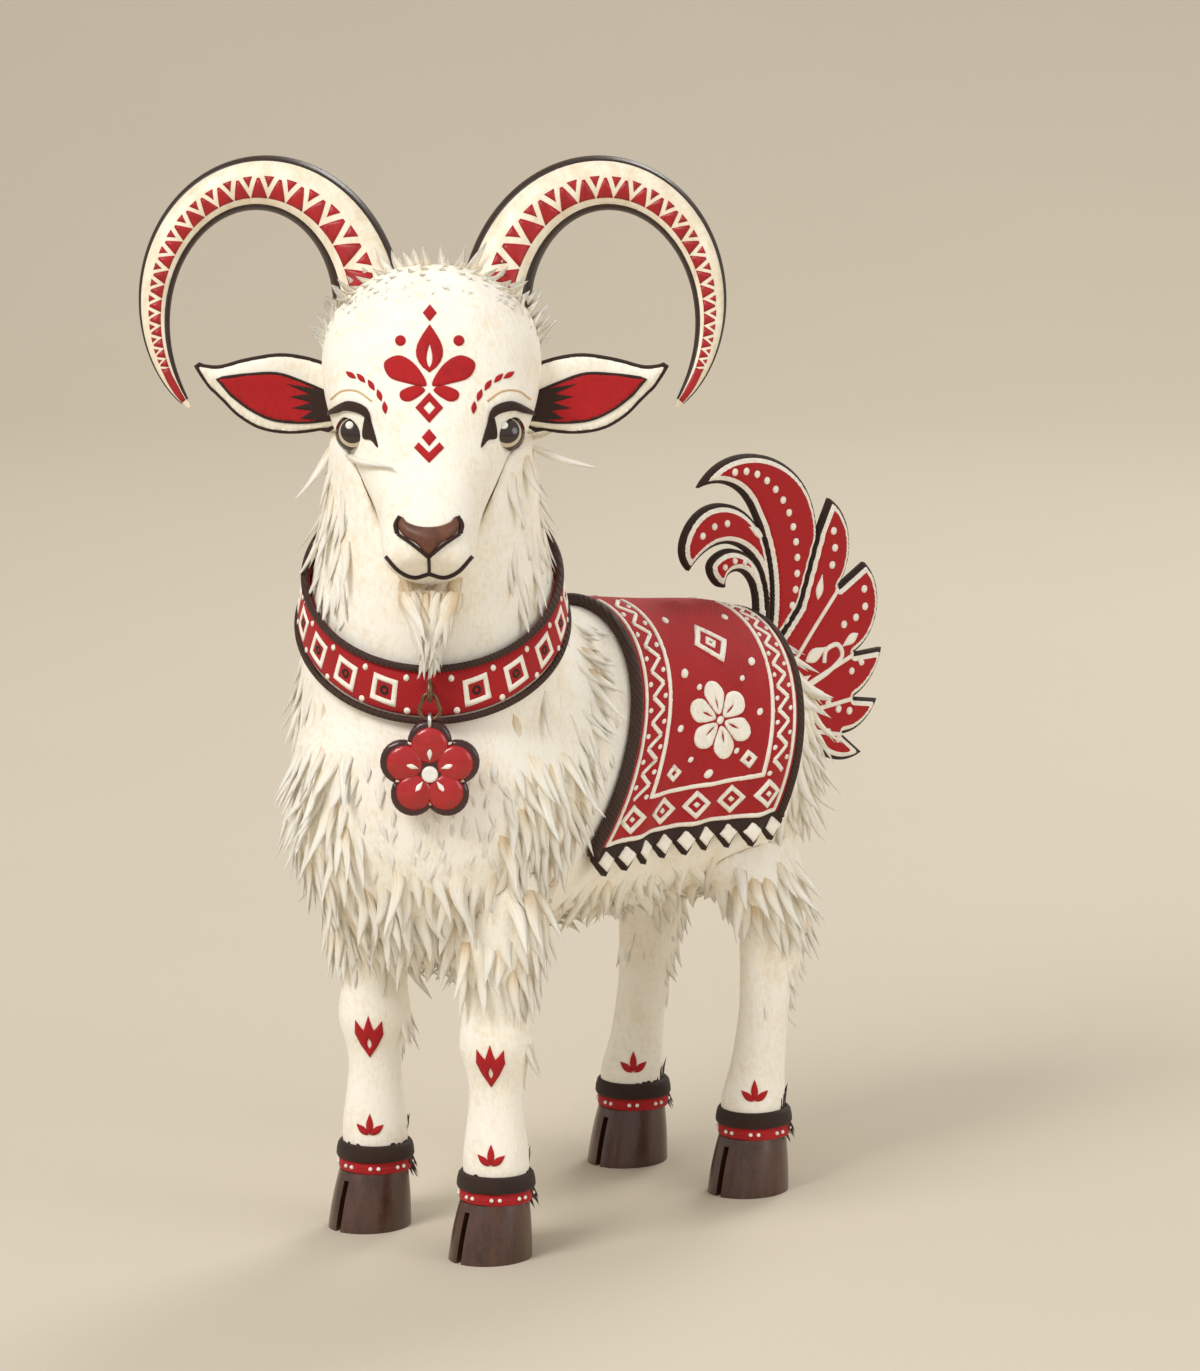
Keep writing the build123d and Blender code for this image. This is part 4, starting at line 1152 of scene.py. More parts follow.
def build_eyes(face):
    rims, whites, irises, shines, lids = Bag(), Bag(), Bag(), Bag(), Bag()
    for sign in (-1, 1):
        tail = smooth_line([(17.8, 2.4), (16.4, -1.6), (14.8, -7.8), (16.8, -5.8), (19.2, -5.0),
                            (19.0, -1.0)], 6, True)
        lash = smooth_line([(30.4, 2.4), (27.0, 4.4), (22.8, 5.6), (18.2, 3.6), (17.0, 0.0), (20.0, 2.0),
                            (24.0, 3.0), (27.0, 2.4)], 6, True)
        applique(rims, [tail * (sign, 1)], face, 0.4, 0.3, -1.0, 0.6)
        applique(rims, [lash * (sign, 1)], face, 0.9, 0.4, -1.0, 0.6)
        lid = smooth_line([(29.0, 6.4), (25.5, 8.6), (21.0, 8.4), (16.6, 5.4)], 8) * (sign, 1)
        applique(lids, [strip(lid, 0.6)], face, 0.1, 0.1, -0.5, 0.5)
        centre = turned(EYE[0], sign * EYE[1], EYE[2])
        out = unit(TO_CAMERA + SIDE * sign * 0.16)
        across = unit(np.cross(UP, out))
        above = np.cross(out, across)
        dome_cap(whites, centre, 6.06, out, 0.5, 45)
        dome_cap(irises, centre, 6.12, unit(out + above * 0.10), 0.5, 37)
        # A small white bead up on each eye's dome: a painted highlight.
        add_bead(shines, centre + (out * 5.7 + above * 2.0 - across * 0.9) * MM, 1.2, 0.45, out)
    rims.piece("eye_rims", "brown")
    whites.piece("eye_crescents", "eye_ring")
    irises.piece("eye_irises", "eye_dark")
    shines.piece("eye_highlights", "white_marks_and_highlight")
    lids.piece("eyelid_lines", "tan")


def build_muzzle(face):
    nose = Bag()
    half = [(3.4, -35.8), (7.0, -33.6), (8.6, -30.6), (7.6, -28.2), (6.2, -29.6), (3.4, -30.8)]
    mirrored = [(-x, y) for x, y in half[::-1]]
    outline = smooth_line([(0, -39.0), *half, (0, -31.2), *mirrored], 5, True)
    applique(nose, [outline], face, 0.6, 1.3, -1.4, 0.6, 3.0)
    nose.piece("nose_leather", "nose", replaces=["nose_pad"])
    lines = Bag()
    wings = smooth_line([(8.8, -33.0), (9.2, -30.4), (8.0, -28.0)], 8)
    for sign in (-1, 1):
        applique(lines, [strip(wings * (sign, 1), 1.0)], face, 0.9, 0.5, -0.8, 0.45)
        rim = smooth_line([(8.6, -33.2), (4.6, -36.0), (0.2, -39.4)], 8)
        applique(lines, [strip(rim * (sign, 1), 0.9)], face, 0.9, 0.5, -0.8, 0.45)
        mouth = smooth_line([(0, -44.4), (4.4, -45.4), (8.6, -43.6), (12.4, -39.4)], 8)
        applique(lines, [strip(mouth * (sign, 1), 0.95)], face, 0.3, 0.3, -0.8, 0.45)
    groove = smooth_line([(0, -39.0), (0.1, -41.8), (0, -44.9)], 5)
    applique(lines, [strip(groove, 0.95)], face, 0.3, 0.3, -0.8, 0.45)
    lines.piece("mouth_lines", "brown")


def build_head_wool(points, faces):
    """Crown tufts, cheek ruff, nape and beard."""
    def crown(found, normal):
        f, s, h = head_frame(found)
        return (h > 266) & (f < 4 + (h - 266) * 0.9)

    bag = Bag()
    roots, normals = scatter(points, faces, 3.2, crown)
    f, s, h = head_frame(roots)
    combs = (np.outer(np.clip((f + 6) / 22, -1, 1), FACING) * 0.6 + np.outer(s / 26, SIDE)
             + np.outer(np.full(len(f), 0.9), UP))
    combs = unit(combs) + unit(normals) * 0.2
    front = np.clip((f + 6) / 16, 0, 1)
    grow_locks(bag, roots, normals, combs, rng.uniform(7, 10.5, len(roots)) * (1 - 0.35 * front),
               rng.uniform(3.2, 4.8, len(roots)), rng.uniform(0.5, 0.9, len(roots)) * (1 - 0.7 * front), 0.12)
    bag.piece("crown_tufts", "wool", replaces=["forelock"])

    def ruff(found, normal):
        f, s, h = head_frame(found)
        face_side = np.abs(s) > 12 + np.clip((h - 205) * 0.28, 0, 12)
        cheek = (h < 234) & (f < 34) & (np.abs(s) > 14) & (f < 10 + (250 - h) * 0.2)
        back = (f < -3) & (h < 272) & ((np.abs(s) < 19) | (h > 264) | (h < 232))
        return (cheek & face_side) | back

    bag = Bag()
    roots, normals = scatter(points, faces, 4.2, ruff)
    f, s, h = head_frame(roots)
    outward = np.sign(s) * np.clip(np.abs(s) / 26, 0, 1) * 0.45
    combs = -np.outer(np.ones(len(f)), UP) + np.outer(outward, SIDE) - np.outer(np.full(len(f), 0.25), FACING)
    grow_locks(bag, roots, normals, combs, rng.uniform(11, 17, len(roots)), rng.uniform(4.2, 6.4, len(roots)),
               rng.uniform(0.12, 0.26, len(roots)), 0.18)
    bag.piece("cheek_ruff", "wool")

    bag = Bag()
    count = 120
    t = rng.uniform(0, 1, count)
    lateral = rng.uniform(-1, 1, count) * (9.5 - 5 * t)
    start = np.array([turned(46.5 - 3 * b + rng.uniform(-2, 1.5), a, 205 - 5 * b)
                      for a, b in zip(lateral, t)])
    normals = unit(np.outer(np.full(count, 1.0), FACING) + np.outer(lateral * 0.06, SIDE)
                   - np.outer(t * 0.2, UP))
    combs = -UP + np.outer(-lateral * 0.045, SIDE) + np.outer(np.full(count, 0.10), FACING)
    reach = 15 + 13 * (1 - np.abs(lateral) / 9.5)
    grow_locks(bag, start, normals, combs, reach * rng.uniform(0.85, 1.05, count) * (1 - 0.25 * t),
               rng.uniform(3.6, 5.4, count), 0.03, 0.14, 9, 7, 0.6, 0.5)
    bag.piece("beard_locks", "wool", replaces=["beard"])


EAR_ROOT = (2.0, 29.0, 254.0)


def ear_thickness(depth):
    """Half the ear's thickness, by distance from its edge, in millimetres."""
    return 0.5 + 1.5 * np.sqrt(np.clip(depth / 3.5, 0, 1))


def build_ears():
    top = [(-3, 8.0), (6, 11.5), (15, 13.0), (25, 11.6), (33, 9.6), (39.5, 10.4)]
    bottom = [(36.5, 5.0), (32.0, 0.4), (27.0, -4.6), (20.0, -8.4), (10.0, -9.4), (-3, -7.4)]
    outline = np.concatenate([smooth_line(top, 6), smooth_line(bottom, 6)])
    lining = np.concatenate([smooth_line([(0, 1.4), (8, 5.0), (16, 7.8), (25, 7.6), (33.5, 6.6)], 5),
                             smooth_line([(29.5, 1.6), (24, -2.6), (17, -5.8), (8, -6.6), (0, -5.8)], 5)])
    for side_name, sign in (("left", 1), ("right", -1)):
        def spot(uv, sign=sign):
            cup = 0.012 * (uv[:, 1] - 1) ** 2 + 0.002 * uv[:, 0] ** 2
            base = np.array([turned(EAR_ROOT[0], sign * EAR_ROOT[1], EAR_ROOT[2])] * len(uv))
            return (base + np.outer(uv[:, 0] * sign, SIDE) * MM + np.outer(uv[:, 1], UP) * MM
                    + np.outer(cup, FACING) * MM)

        verts, triangles, rim, depth = fill([outline], 1.1)
        middle = spot(verts)
        thick = ear_thickness(depth)
        front = middle + np.outer(thick, FACING) * MM
        back = middle - np.outer(thick, FACING) * MM
        count = len(verts)
        faces = [tuple(t) if sign > 0 else tuple(t[::-1]) for t in triangles]
        faces += [tuple(i + count for i in f[::-1]) for f in faces]
        for a, b in rim:
            quad = (b, a, a + count, b + count)
            faces.append(quad if sign > 0 else quad[::-1])
        bag = Bag()
        bag.add(np.concatenate([front, back]), faces)
        ear = bag.piece(f"{side_name}_ear_felt", "skin", replaces=[f"{side_name}_ear"])
        edge = Bag()
        path = smooth_line(spot(outline[::2]), 2, True)
        edge.add(*tube(path, 0.75 * MM, 8, True))
        edge.piece(f"{side_name}_ear_edge", "brown")

        def front_surface(uv):
            points = spot(uv)
            lifted = ear_thickness(edge_distance(uv, [outline]))
            return points + np.outer(lifted, FACING) * MM, np.tile(FACING, (len(uv), 1))

        red = Bag()
        applique(red, [lining], front_surface, 0.25, 0.3, -0.4, 1.0)
        red.piece(f"{side_name}_ear_red", "red", replaces=[f"{side_name}_ear_lining"])
        dark = Bag()
        border = smooth_line(lining, 1, True)
        applique(dark, [strip(border, 0.9)], front_surface, 0.35, 0.2, -0.4, 0.6)
        jag = [(-1, 1.6), (6, 3.6), (13.5, 4.8), (7.0, 1.8), (12.5, 1.0), (6.5, -0.8), (12.0, -2.4),
               (6.0, -3.2), (9.5, -5.4), (-1, -6.4)]
        applique(dark, [jag], front_surface, 0.6, 0.3, -0.3, 0.8)
        dark.piece(f"{side_name}_ear_dark", "brown")
        tuft = Bag()
        count = 26
        uv = np.column_stack([rng.uniform(-2, 5, count), rng.uniform(-6.5, 7.5, count)])
        roots, normals = front_surface(uv)
        combs = np.outer(np.full(count, float(sign)), SIDE) + np.outer(rng.uniform(-0.25, 0.15, count), UP)
        low = uv[:, 1] < 3.0
        grow_locks(tuft, roots[low], normals[low], combs[low], rng.uniform(6, 10, low.sum()),
                   rng.uniform(2.2, 3.2, low.sum()), 0.15, 0.12)
        tuft.piece(f"{side_name}_ear_tuft", "dark_locks")


# ------------------------------------------------------------------ horns
HORN_ROOT = 10.8
HORN_FLAT = 0.86
HORN_TAPER = 0.55
HORN_END = 0.985
HORN_MIDDLE = (50, 278)


def horn_path(share, sign):
    angle = np.radians(198 - 246 * share)
    lateral = HORN_MIDDLE[0] + 31.5 * np.cos(angle)
    height = HORN_MIDDLE[1] + 37 * np.sin(angle)
    forward = -4 - 13 * np.sin(math.pi * share)
    return (place(0, SHOULDER_Y, 0) + (np.outer(forward, FACING) + np.outer(lateral * sign, SIDE)
                                       + np.outer(height, UP)) * MM)


HORN_LENGTH = float(np.linalg.norm(np.diff(horn_path(np.linspace(0, 1, 400), 1), axis=0), axis=1).sum() / MM)


def horn_frame(share, sign):
    step = 0.002
    centre = horn_path(share, sign)
    tangent = unit(horn_path(share + step, sign) - horn_path(share - step, sign))
    middle = place(0, SHOULDER_Y, 0) + (SIDE * HORN_MIDDLE[0] * sign + UP * HORN_MIDDLE[1]) * MM
    outer = centre - middle
    outer -= np.outer(outer @ FACING, FACING)
    outer = unit(outer - tangent * (outer * tangent).sum(1, keepdims=True))
    front = np.cross(tangent, outer)
    front *= np.sign(front @ FACING)[:, None]
    radius = np.maximum(HORN_ROOT * np.clip(1 - share, 0, 1) ** HORN_TAPER, 0.6)
    return centre, outer, front, radius


def horn_point(share, angle, sign):
    """On the horn's skin. The angle runs from 0 on the inner curve through the front to pi on the outer."""
    centre, outer, front, radius = horn_frame(share, sign)
    a, b = -np.cos(angle), np.sin(angle)
    points = centre + (outer * (a * radius)[:, None] + front * (b * radius * HORN_FLAT)[:, None]) * MM
    normals = unit(outer * a[:, None] + front * (b / HORN_FLAT)[:, None])
    return points, normals


def horn_surface(sign, way):
    def surface(uv):
        share = np.clip(uv[:, 0] / HORN_LENGTH, 0, 1)
        angle = np.arccos(np.clip(-uv[:, 1] / HORN_ROOT, -0.999, 0.999)) * way
        return horn_point(share, angle, sign)
    return surface


def horn_band(bag, sign, start, end, first, last, lift=0.22):
    """A painted band along the horn between two angles, as a thin raised skin."""
    rows, columns = 90, 12
    share = np.repeat(np.linspace(start, end, rows), columns)
    angle = np.tile(np.linspace(first, last, columns), rows)
    points, normals = horn_point(share, angle, sign)
    edge = np.minimum(np.tile(np.linspace(0, 1, columns), rows), np.tile(np.linspace(1, 0, columns), rows))
    rise = np.where(edge < 1e-6, -0.35, lift)
    faces = grid_faces(rows, columns)
    bag.add(points + normals * rise[:, None] * MM, faces if sign > 0 else [f[::-1] for f in faces])


def build_horns():
    inner, outer_line = math.acos(0.64), math.pi - math.acos(0.84)
    for side_name, sign in (("left", 1), ("right", -1)):
        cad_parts[f"{side_name}_horn"].data.materials.clear()
        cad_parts[f"{side_name}_horn"].data.materials.append(PAINT["horn"])
        dark, red = Bag(), Bag()
        horn_band(dark, sign, 0.0, HORN_END, -inner, inner)
        horn_band(dark, sign, 0.0, HORN_END, outer_line, 2 * math.pi - outer_line)
        dark.piece(f"{side_name}_horn_lines", "horn_dark")
        for way in (1, -1):
            surface = horn_surface(sign, way)
            at = HORN_LENGTH * 0.105
            block = [(0, -4.9), (at, -4.9), (at, -3.2), (at - 5, 2.4), (at - 9, 3.2), (0, 3.2)]
            applique(red, [block], surface, 0.12, 0.08, -0.5, 1.3)
            while at < HORN_LENGTH * 0.90:
                radius = HORN_ROOT * (1 - at / HORN_LENGTH) ** HORN_TAPER
                pitch = 0.86 * radius
                tooth = [(at, -4.9), (at + pitch * 0.94, -4.9), (at + pitch * 0.56, 3.2),
                         (at + pitch * 0.44, 3.2)]
                applique(red, [tooth], surface, 0.12, 0.08, -0.5, 1.3)
                gap = [(at + pitch * 0.78, 3.9), (at + pitch * 1.22, 3.9), (at + pitch, -0.6)]
                applique(red, [gap], surface, 0.12, 0.08, -0.5, 1.2)
                at += pitch
            tip = [(at, -4.9), (HORN_LENGTH * HORN_END, -6), (HORN_LENGTH * HORN_END, 7), (at, 3.5)]
            applique(red, [tip], surface, 0.12, 0.08, -0.5, 1.3)
        red.piece(f"{side_name}_horn_teeth", "horn_red")


# ------------------------------------------------------------------ collar and pendant
COLLAR_FORWARD = FACING * math.cos(COLLAR_TILT) - UP * math.sin(COLLAR_TILT)
COLLAR_UP = UP * math.cos(COLLAR_TILT) + FACING * math.sin(COLLAR_TILT)
COLLAR_GIRTH = 39.5


def collar_surface(tree):
    centre = turned(2, 0, 195.5)

    def surface(uv):
        angle = uv[:, 0] / COLLAR_GIRTH
        out = np.outer(np.cos(angle), COLLAR_FORWARD) + np.outer(np.sin(angle), SIDE)
        starts = centre + out * 0.09 + np.outer(uv[:, 1], COLLAR_UP) * MM
        points, _ = cast(tree, starts, -out)
        return points, out
    return surface


def build_collar():
    tree = mesh_tree(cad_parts["collar"])
    surface = collar_surface(tree)
    rows, columns = 150, 9
    u = np.repeat(np.linspace(-math.pi, math.pi, rows, endpoint=False) * COLLAR_GIRTH, columns)
    v = np.tile(np.linspace(-6.6, 6.6, columns), rows)
    points, normals = surface(np.column_stack([u, v]))
    rise = np.where(np.abs(v) > 6.5, -1.6, 0.25)
    points = points + normals * rise[:, None] * MM
    faces = grid_faces(rows, columns)
    end = (rows - 1) * columns
    faces += [(end + c, end + c + 1, c + 1, c) for c in range(columns - 1)]
    band = Bag()
    band.add(points, faces, cloth=np.column_stack([u, v, np.zeros(len(u))]))
    band.piece("collar_cloth", "cloth", replaces=["collar"])
    piping = Bag()
    for edge in (-6.9, 6.9):
        u = np.linspace(-math.pi, math.pi, 160, endpoint=False) * COLLAR_GIRTH
        path, _ = surface(np.column_stack([u, np.full(len(u), edge * 0.96)]))
        piping.add(*tube(path + COLLAR_UP * (edge * 0.06) * MM, 1.05 * MM, 10, True))
    piping.piece("collar_cord", "braid", replaces=["collar_piping"])
    white, dark = Bag(), Bag()
    pitch = 2 * math.pi * COLLAR_GIRTH / 20
    raised = (0.45, 0.22, 0.0, 0.8)
    for k in range(1, 20):
        at = (k if k <= 10 else k - 20) * pitch
        slant = 0.35 * np.sign(at) * (abs(at) < 9.5 * pitch)
        ring = np.array([(at - 3.6, 3.5 - slant), (at + 3.6, 3.5 + slant), (at + 3.6, -3.5 + slant),
                         (at - 3.6, -3.5 - slant)])
        hole = (ring - (at, 0)) * 0.62 + (at, 0)
        applique(white, [ring, hole], surface, *raised)
        applique(dark, [circle(at, 0, 1.25), circle(at, 0, 0.6)], surface, 0.4, 0.15, 0.0, 0.8)
    for k in range(20):
        at = (k + 0.5) * pitch
        applique(white, [circle(at - 0.4, 4.3, 0.8)], surface, 0.45, 0.25, 0.0, 0.8)
        applique(white, [circle(at + 0.4, -4.3, 0.8)], surface, 0.45, 0.25, 0.0, 0.8)
    white.piece("collar_marks", "white")
    dark.piece("collar_mark_centres", "brown")


def build_pendant():
    centre = node_middle("pendant_flower")
    enamel, dark, marks = Bag(), Bag(), Bag()
    outline = []
    petals = [math.radians(90 + 72 * k) for k in range(5)]
    for middle in petals:
        hub = np.array((math.cos(middle), math.sin(middle))) * 8.4
        for step in range(-7, 8):
            angle = middle + math.radians(step * 15.4)
            outline.append(hub + 6.4 * np.array((math.cos(angle), math.sin(angle))))
    outline = np.array(outline)

    def face(uv):
        points = centre + (np.outer(uv[:, 0], SIDE) + np.outer(uv[:, 1], UP)) * MM
        return points, np.tile(FACING, (len(uv), 1))

    def rear(uv):
        points, normals = face(uv)
        return points, -normals

    for surface in (face, rear):
        applique(dark, [outline], surface, 1.15, 0.45, -0.1, 1.0)
        for middle in petals:
            hub = np.array((math.cos(middle), math.sin(middle))) * 8.2
            shape = []
            for step in range(36):
                angle = 2 * math.pi * step / 36
                reach = 5.3 * (1 - 0.10 * math.cos(angle))
                shape.append(hub + reach * np.array((math.cos(angle + middle), math.sin(angle + middle))))
            applique(enamel, [shape], surface, 1.5, 1.5, 0.3, 0.8, 4.5)
    for middle in petals:
        root = np.array((math.cos(middle), math.sin(middle))) * 3.4
        ray = leaf(root[0], root[1], 4.6, 1.6, math.degrees(middle), 0.55)
        applique(marks, [ray], face, 2.7, 0.4, 1.4, 0.6)
    dark.piece("pendant_rim", "enamel_dark", "pendant", replaces=["pendant_flower"])
    enamel.piece("pendant_petals", "enamel", "pendant")
    marks.piece("pendant_marks", "white_marks_and_highlight", "pendant")


# ------------------------------------------------------------------ blanket
BLANKET_WIDE = 75.0
BLANKET_DROP = 86.0
BLANKET_SWEEP = 0.38
BARREL_MIDDLE = 136.5
BARREL_RADIUS = 47
HEM_ANGLE = math.acos((BLANKET_HEM - BARREL_MIDDLE) / BARREL_RADIUS)


def torso_surface(tree, lift):
    """Maps (along, round) in mm to the blanket's place over the back. Round is 0 on the spine."""
    def surface(uv):
        round_way = np.clip(uv[:, 1], -BLANKET_DROP, BLANKET_DROP)
        angle = round_way / BLANKET_DROP * HEM_ANGLE
        height = BARREL_MIDDLE + BARREL_RADIUS * np.cos(angle)
        front, rear = blanket_edges(height)
        y = front + (rear - front) * (uv[:, 0] / BLANKET_WIDE + 0.5)
        out = np.column_stack([np.sin(angle), np.zeros(len(angle)), np.cos(angle)])
        core = np.column_stack([np.zeros(len(y)), y, np.full(len(y), BARREL_MIDDLE)])
        starts = core * MM + STAND + out * 0.12
        points, normals = cast(tree, starts, -out)
        away = np.clip((np.abs(round_way) - 50) / 36, 0, 1)
        ripple = away * (0.9 + 0.6 * np.sin(uv[:, 0] * 0.27 + 1.0) + 0.3 * np.sin(uv[:, 0] * 0.53))
        points = points + normals * (lift + ripple)[:, None] * MM
        below = np.abs(uv[:, 1]) - np.abs(round_way)
        flat = unit(normals * (1, 1, 0))
        normals = np.where((below > 0)[:, None], flat, normals)
        return points - np.outer(below, UP) * MM + flat * (below * 0.06)[:, None] * MM, normals
    return surface


def upright(loops, y):
    """Shears shapes about the height y so that they stand upright although the sides are swept."""
    result = []
    for loop in loops:
        loop = np.asarray(loop, float).copy()
        loop[:, 0] += (loop[:, 1] - y) * BLANKET_SWEEP
        result.append(loop)
    return result


def build_blanket():
    tree = mesh_tree(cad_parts["body_fleece"])
    top = torso_surface(tree, BLANKET_LIFT + BLANKET_THICK)
    rows, columns = 117, 51
    v = np.repeat(np.linspace(-BLANKET_DROP, BLANKET_DROP, rows), columns)
    u = np.tile(np.linspace(-BLANKET_WIDE / 2, BLANKET_WIDE / 2, columns), rows)
    upper, normals = top(np.column_stack([u, v]))
    lower = upper - normals * BLANKET_THICK * MM
    count = rows * columns
    faces = grid_faces(rows, columns)
    faces += [tuple(i + count for i in f[::-1]) for f in faces]
    for r in range(rows - 1):
        a, b = r * columns, (r + 1) * columns
        faces.append((a, b, b + count, a + count))
        a, b = a + columns - 1, b + columns - 1
        faces.append((b, a, a + count, b + count))
    for c in range(columns - 1):
        a, b = c, c + 1
        faces.append((b, a, a + count, b + count))
        a, b = a + (rows - 1) * columns, b + (rows - 1) * columns
        faces.append((a, b, b + count, a + count))
    bag = Bag()
    cloth = np.column_stack([u, v, np.zeros(count)])
    bag.add(np.concatenate([upper, lower]), faces, cloth=np.concatenate([cloth, cloth]))
    sheet = bag.piece("blanket_cloth", "cloth", replaces=["blanket"])
    binding = Bag()
    for edge in (-1, 1):
        along = np.linspace(-BLANKET_DROP - 1, BLANKET_DROP + 1, 130)
        path, out = top(np.column_stack([np.full(len(along), edge * (BLANKET_WIDE / 2 - 0.4)), along]))
        binding.add(*tube(path - out * 0.8 * MM, 1.9 * MM, 12))
    bind = binding.piece("blanket_side_binding", "braid", replaces=["blanket_binding"])
    marks = Bag()
    raised = dict(height=0.4, puff=0.2, base=-0.3)
    half = BLANKET_WIDE / 2
    for way in (-1, 1):
        def surface(uv, way=way):
            return top(uv * (1, way))

        def add(*loops, spacing=1.1):
            applique(marks, list(loops), surface, spacing=spacing, **raised)

        for edge in (-1, 1):
            add(strip([(edge * (half - 4.0), v) for v in np.linspace(4, 84.6, 40)], 1.1), spacing=0.9)
            add(strip([(edge * 22.6, v) for v in np.linspace(4, 71.8, 34)], 1.3), spacing=0.9)
            zig = []
            top_at, steps = 5.0, 17
            pitch = 66.0 / steps
            for k in range(steps + 1):
                zig.append((edge * (30.4 if k % 2 else 25.4), top_at + pitch * k))
            for first, second in zip(zig[:-1], zig[1:]):
                add(strip([first, second], 1.15), spacing=0.9)
            for k in range(1, steps + 1):
                x = edge * (24.9 if k % 2 else 31.4)
                add(circle(x, top_at + pitch * k, 0.75, 12))
        add(strip([(x, 84.0) for x in np.linspace(-33.6, 33.6, 40)], 1.3), spacing=0.9)
        add(strip([(x, 71.2) for x in np.linspace(-23.2, 23.2, 30)], 1.3), spacing=0.9)
        for k in range(5):
            x = -27.2 + 13.6 * k
            add(*upright([diamond(x, 77.6, 5.4, 4.8), diamond(x, 77.6, 3.3, 2.9)], 77.6))
            add(*upright([diamond(x, 77.6, 1.1, 1.0)], 77.6))
        add(*upright([diamond(0, 26, 7.6, 7.2), diamond(0, 26, 5.2, 4.9)], 26))
        add(*upright([diamond(0, 26, 2.4, 2.2), diamond(0, 26, 0.9, 0.8)], 26))
        for x, y, r in ((-14.5, 16.0, 1.2), (14.5, 16.0, 1.2), (-15.5, 34.5, 1.4), (15.5, 34.5, 1.4),
                        (-9.6, 39.5, 0.9), (9.6, 39.5, 0.9), (-16.8, 51, 1.1), (16.8, 51, 1.1),
                        (-9.2, 61.8, 0.9), (9.2, 61.8, 0.9), (0, 67.6, 1.4)):
            add(circle(x, y, r, 14))
        for x in (-15.0, 15.0):
            add(*upright([diamond(x, 65.2, 3.4, 3.0), diamond(x, 65.2, 1.4, 1.2)], 65.2))
        for k in range(6):
            angle = 90 + 60 * k
            c, s = math.cos(math.radians(angle)), math.sin(math.radians(angle))
            petal = smooth_line([(1.9, 0), (4.6, 2.3), (8.6, 3.9), (11.6, 2.4), (12.6, 0), (11.6, -2.4),
                                 (8.6, -3.9), (4.6, -2.3)], 4, True)
            slit = leaf(3.0, 0, 5.0, 0.9, 0, 0.5)
            turn = np.array([[c, s], [-s, c]])
            add(*upright([petal @ turn + (0, 51), slit @ turn + (0, 51)], 51), spacing=0.8)
        add(circle(0, 51, 1.25, 14))
    marks.piece("blanket_marks", "white")
    fringe, points_white = Bag(), Bag()
    for way in (-1, 1):
        def hem(uv, way=way):
            return top(uv * (1, way))

        pitch = BLANKET_WIDE / 9
        loop = [(-half - 0.5, 85.0), (half + 0.5, 85.0)]
        for k in range(9):
            x = half - pitch * (k + 0.5)
            loop += [(x + pitch * 0.5, 88.4), (x, 93.6)]
        loop.append((-half, 88.4))
        applique(fringe, [loop], hem, 0.3, 0.3, -1.8, 1.0)
        for k in range(9):
            x = half - pitch * (k + 0.5)
            applique(points_white, [diamond(x, 89.0, 3.1, 3.1)], hem, 0.9, 0.35, 0.2, 0.8)
    edging = fringe.piece("blanket_hem_edging", "brown", replaces=["blanket_fringe"])
    tips = points_white.piece("blanket_hem_diamonds", "white")


# ------------------------------------------------------------------ tail
def plate_outline(node):
    """The outline of a flat upright plate, read from its own mesh, as (y, z) in mm from the hooves."""
    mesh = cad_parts[node].data
    edges = {}
    for polygon in mesh.polygons:
        if polygon.normal.x > 0.99:
            corners = list(polygon.vertices)
            for a, b in zip(corners, corners[1:] + corners[:1]):
                ka = tuple(round(c, 7) for c in mesh.vertices[a].co)
                kb = tuple(round(c, 7) for c in mesh.vertices[b].co)
                if edges.pop((kb, ka), None) is None:
                    edges[(ka, kb)] = True
    following = dict(edges.keys())
    loops = []
    while following:
        start = next(iter(following))
        loop, here = [], start
        while here in following:
            loop.append(here)
            here = following.pop(here)
        if len(loop) > 5:
            loops.append(local(np.array(loop))[:, 1:])
    return loops


def step(value, at, width=0.35):
    t = np.clip((value - at) / width, 0, 1)
    return t * t * (3 - 2 * t)


PLUME_EDGE = 1.1
PLUME_RED = 2.5


def plume_height(depth):
    soft = np.sqrt(np.clip(depth / 1.2, 0, 1))
    return 0.7 + 0.7 * soft + 0.55 * step(depth, PLUME_EDGE) + 0.55 * step(depth, PLUME_RED)


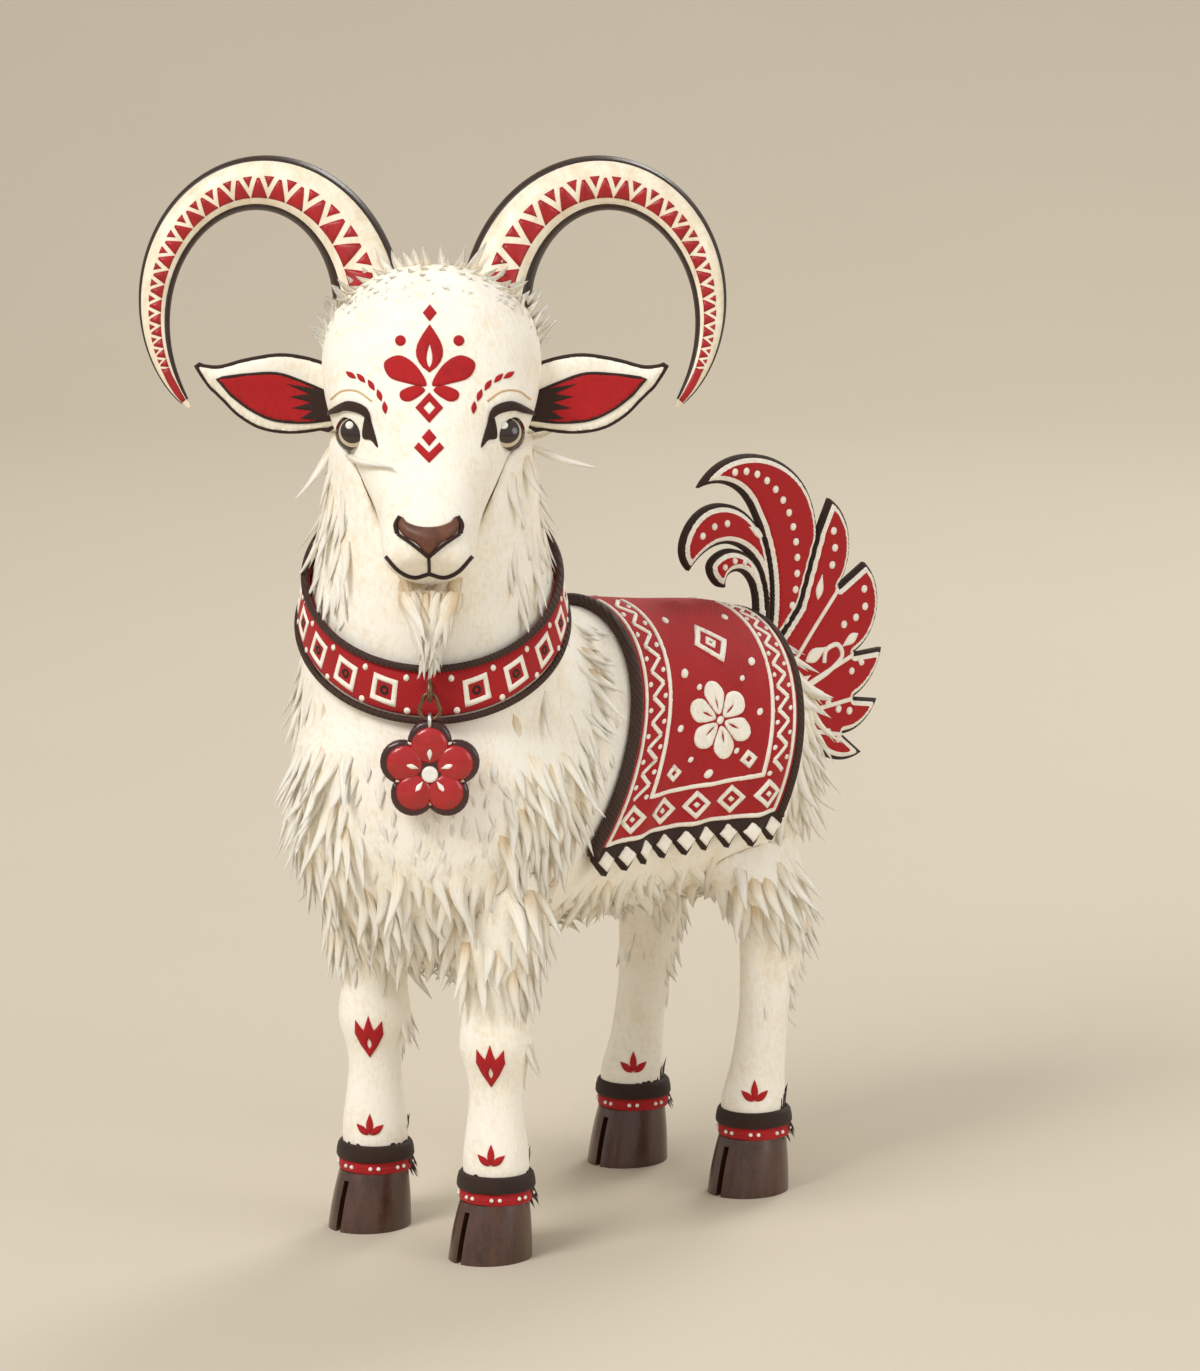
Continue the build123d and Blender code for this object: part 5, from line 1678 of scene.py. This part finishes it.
def build_tail():
    dots = Bag()
    loops_of = {}
    for node in ("tail_crest_plume", "tail_front_plume", "tail_curl", "tail_rear_plume"):
        loops = plate_outline(node)
        loops_of[node] = loops
        verts, triangles, rim, depth = fill(loops, 0.75)
        count = len(verts)
        rise = plume_height(depth)
        flat = np.column_stack([np.zeros(count), verts]) * MM + STAND
        left = flat + np.outer(rise, (1, 0, 0)) * MM
        right = flat - np.outer(rise, (1, 0, 0)) * MM
        faces = [tuple(t) for t in triangles]
        faces += [tuple(i + count for i in t[::-1]) for t in faces]
        faces += [(b, a, a + count, b + count) for a, b in rim]
        bag = Bag()
        bag.add(np.concatenate([left, right]), faces, edge=np.concatenate([depth, depth]))
        piece = bag.piece(node.replace("tail", "tail_felt"), "plume", replaces=[node])

    def face(way):
        def surface(uv):
            depth = np.zeros(len(uv))
            for loops in loops_of.values():
                held = inside(uv, loops)
                if held.any():
                    depth[held] = edge_distance(uv[held], loops)
            points = np.column_stack([np.zeros(len(uv)), uv]) * MM + STAND
            points[:, 0] += way * plume_height(depth) * MM
            return points, np.tile((float(way), 0, 0), (len(uv), 1))
        return surface

    def row(line, spacing, radius, start=0.0, end=1.0):
        curve = smooth_line(line, 20)
        length = np.concatenate([[0], np.cumsum(np.linalg.norm(np.diff(curve, axis=0), axis=1))])
        at = np.arange(start * length[-1], end * length[-1] + 0.01, spacing)
        return [(np.interp(a, length, curve[:, 0]), np.interp(a, length, curve[:, 1]), radius) for a in at]

    spots = row([(70, 217.5), (78, 216.5), (87, 211), (94, 202), (97.5, 190), (97, 178), (93, 166)],
                5.0, 1.15)
    spots += row([(56, 199.5), (62, 202), (68, 202)], 5.6, 1.1)
    spots += row([(65.8, 188.6), (70.5, 190), (76, 188.6)], 4.6, 0.95)
    spots += row([(84, 172), (84.6, 166), (84.8, 160)], 4.6, 1.0)
    spots += row([(114, 194), (114.6, 188), (113, 182)], 5.4, 1.2)
    spots += row([(128, 174), (128, 167), (122, 165), (116, 163)], 5.6, 1.2)
    spots += row([(127, 151), (121, 148)], 5.0, 1.1)
    spots += row([(112, 140), (118, 137), (124, 136)], 5.2, 1.2)
    spots += row([(112, 131), (118, 127)], 5.4, 1.1)
    for way in (1, -1):
        surface = face(way)
        for y, z, radius in spots:
            applique(dots, [circle(y, z, radius, 14)], surface, 0.3, 0.3, -0.5, 0.7)
        for y, z, length, width, angle in ((76, 200, 9, 3.0, -28), (109, 181, 8, 3.0, -105),
                                           (111, 158, 10, 4.4, 200), (118, 157, 8, 3.2, 25),
                                           (104, 150, 9, 3.4, 200)):
            applique(dots, [leaf(y, z, length, width, angle, 0.6)], surface, 0.3, 0.3, -0.5, 0.7)
        swirl = smooth_line([(96, 143), (104, 147), (112, 150), (118, 154), (116, 158), (111, 157),
                             (110, 153)], 8)
        applique(dots, [strip(swirl, 1.5)], surface, 0.3, 0.3, -0.5, 0.7)
        for line in ([(92, 150), (104, 163), (117, 176)], [(93, 144), (108, 149), (124, 154)],
                     [(94, 139), (108, 139), (124, 140)], [(95, 135), (106, 132), (119, 129)]):
            applique(dots, [strip(smooth_line(line, 14), 1.3)], surface, 0.3, 0.3, -0.5, 0.7)
    dots.piece("tail_marks", "white")


# ------------------------------------------------------------------ CAD pieces that stay
def paint_inner():
    straw = Nodes("straw")
    stalks = straw.noise(straw.coordinates((900, 40, 900)), 1.0, 3)
    straw.colour(straw.ramp(stalks, [(0.3, linear(150, 112, 52)), (0.5, linear(214, 178, 98)),
                                     (1.0, linear(232, 204, 130))]))
    straw.roughness(stalks, 0.4, 0.7)
    straw.bump(stalks, 0.0006, 0.9)
    twine = braid("twine", linear(150, 112, 70), linear(198, 164, 116))
    wood = painted("dowel_wood", linear(206, 170, 120), linear(168, 128, 82), (0.5, 0.7), 0.0)
    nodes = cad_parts
    choice = {"straw_core": straw.material, "core_bindings": twine, "collar_loop": PAINT["bronze"],
              "drop_link": PAINT["bronze"], "pendant_bail": PAINT["silver"], "pendant_bead": PAINT["bead"],
              "left_eye": PAINT["eye_dark"], "right_eye": PAINT["eye_dark"]}
    for name, node in nodes.items():
        if name in ("left_horn", "right_horn"):
            continue
        if name.endswith("_hoof"):
            material = PAINT["hoof"]
        elif name.endswith(("dowel", "peg", "core")) and name != "straw_core":
            material = wood
        else:
            material = choice.get(name, PAINT["skin"])
        node.data.materials.clear()
        node.data.materials.append(material)


make_camera()
make_light()
make_floor(plain_floor())
paint_inner()
build_coat()
build_legs()
build_head()
build_ears()
build_horns()
build_collar()
build_pendant()
build_blanket()
build_tail()
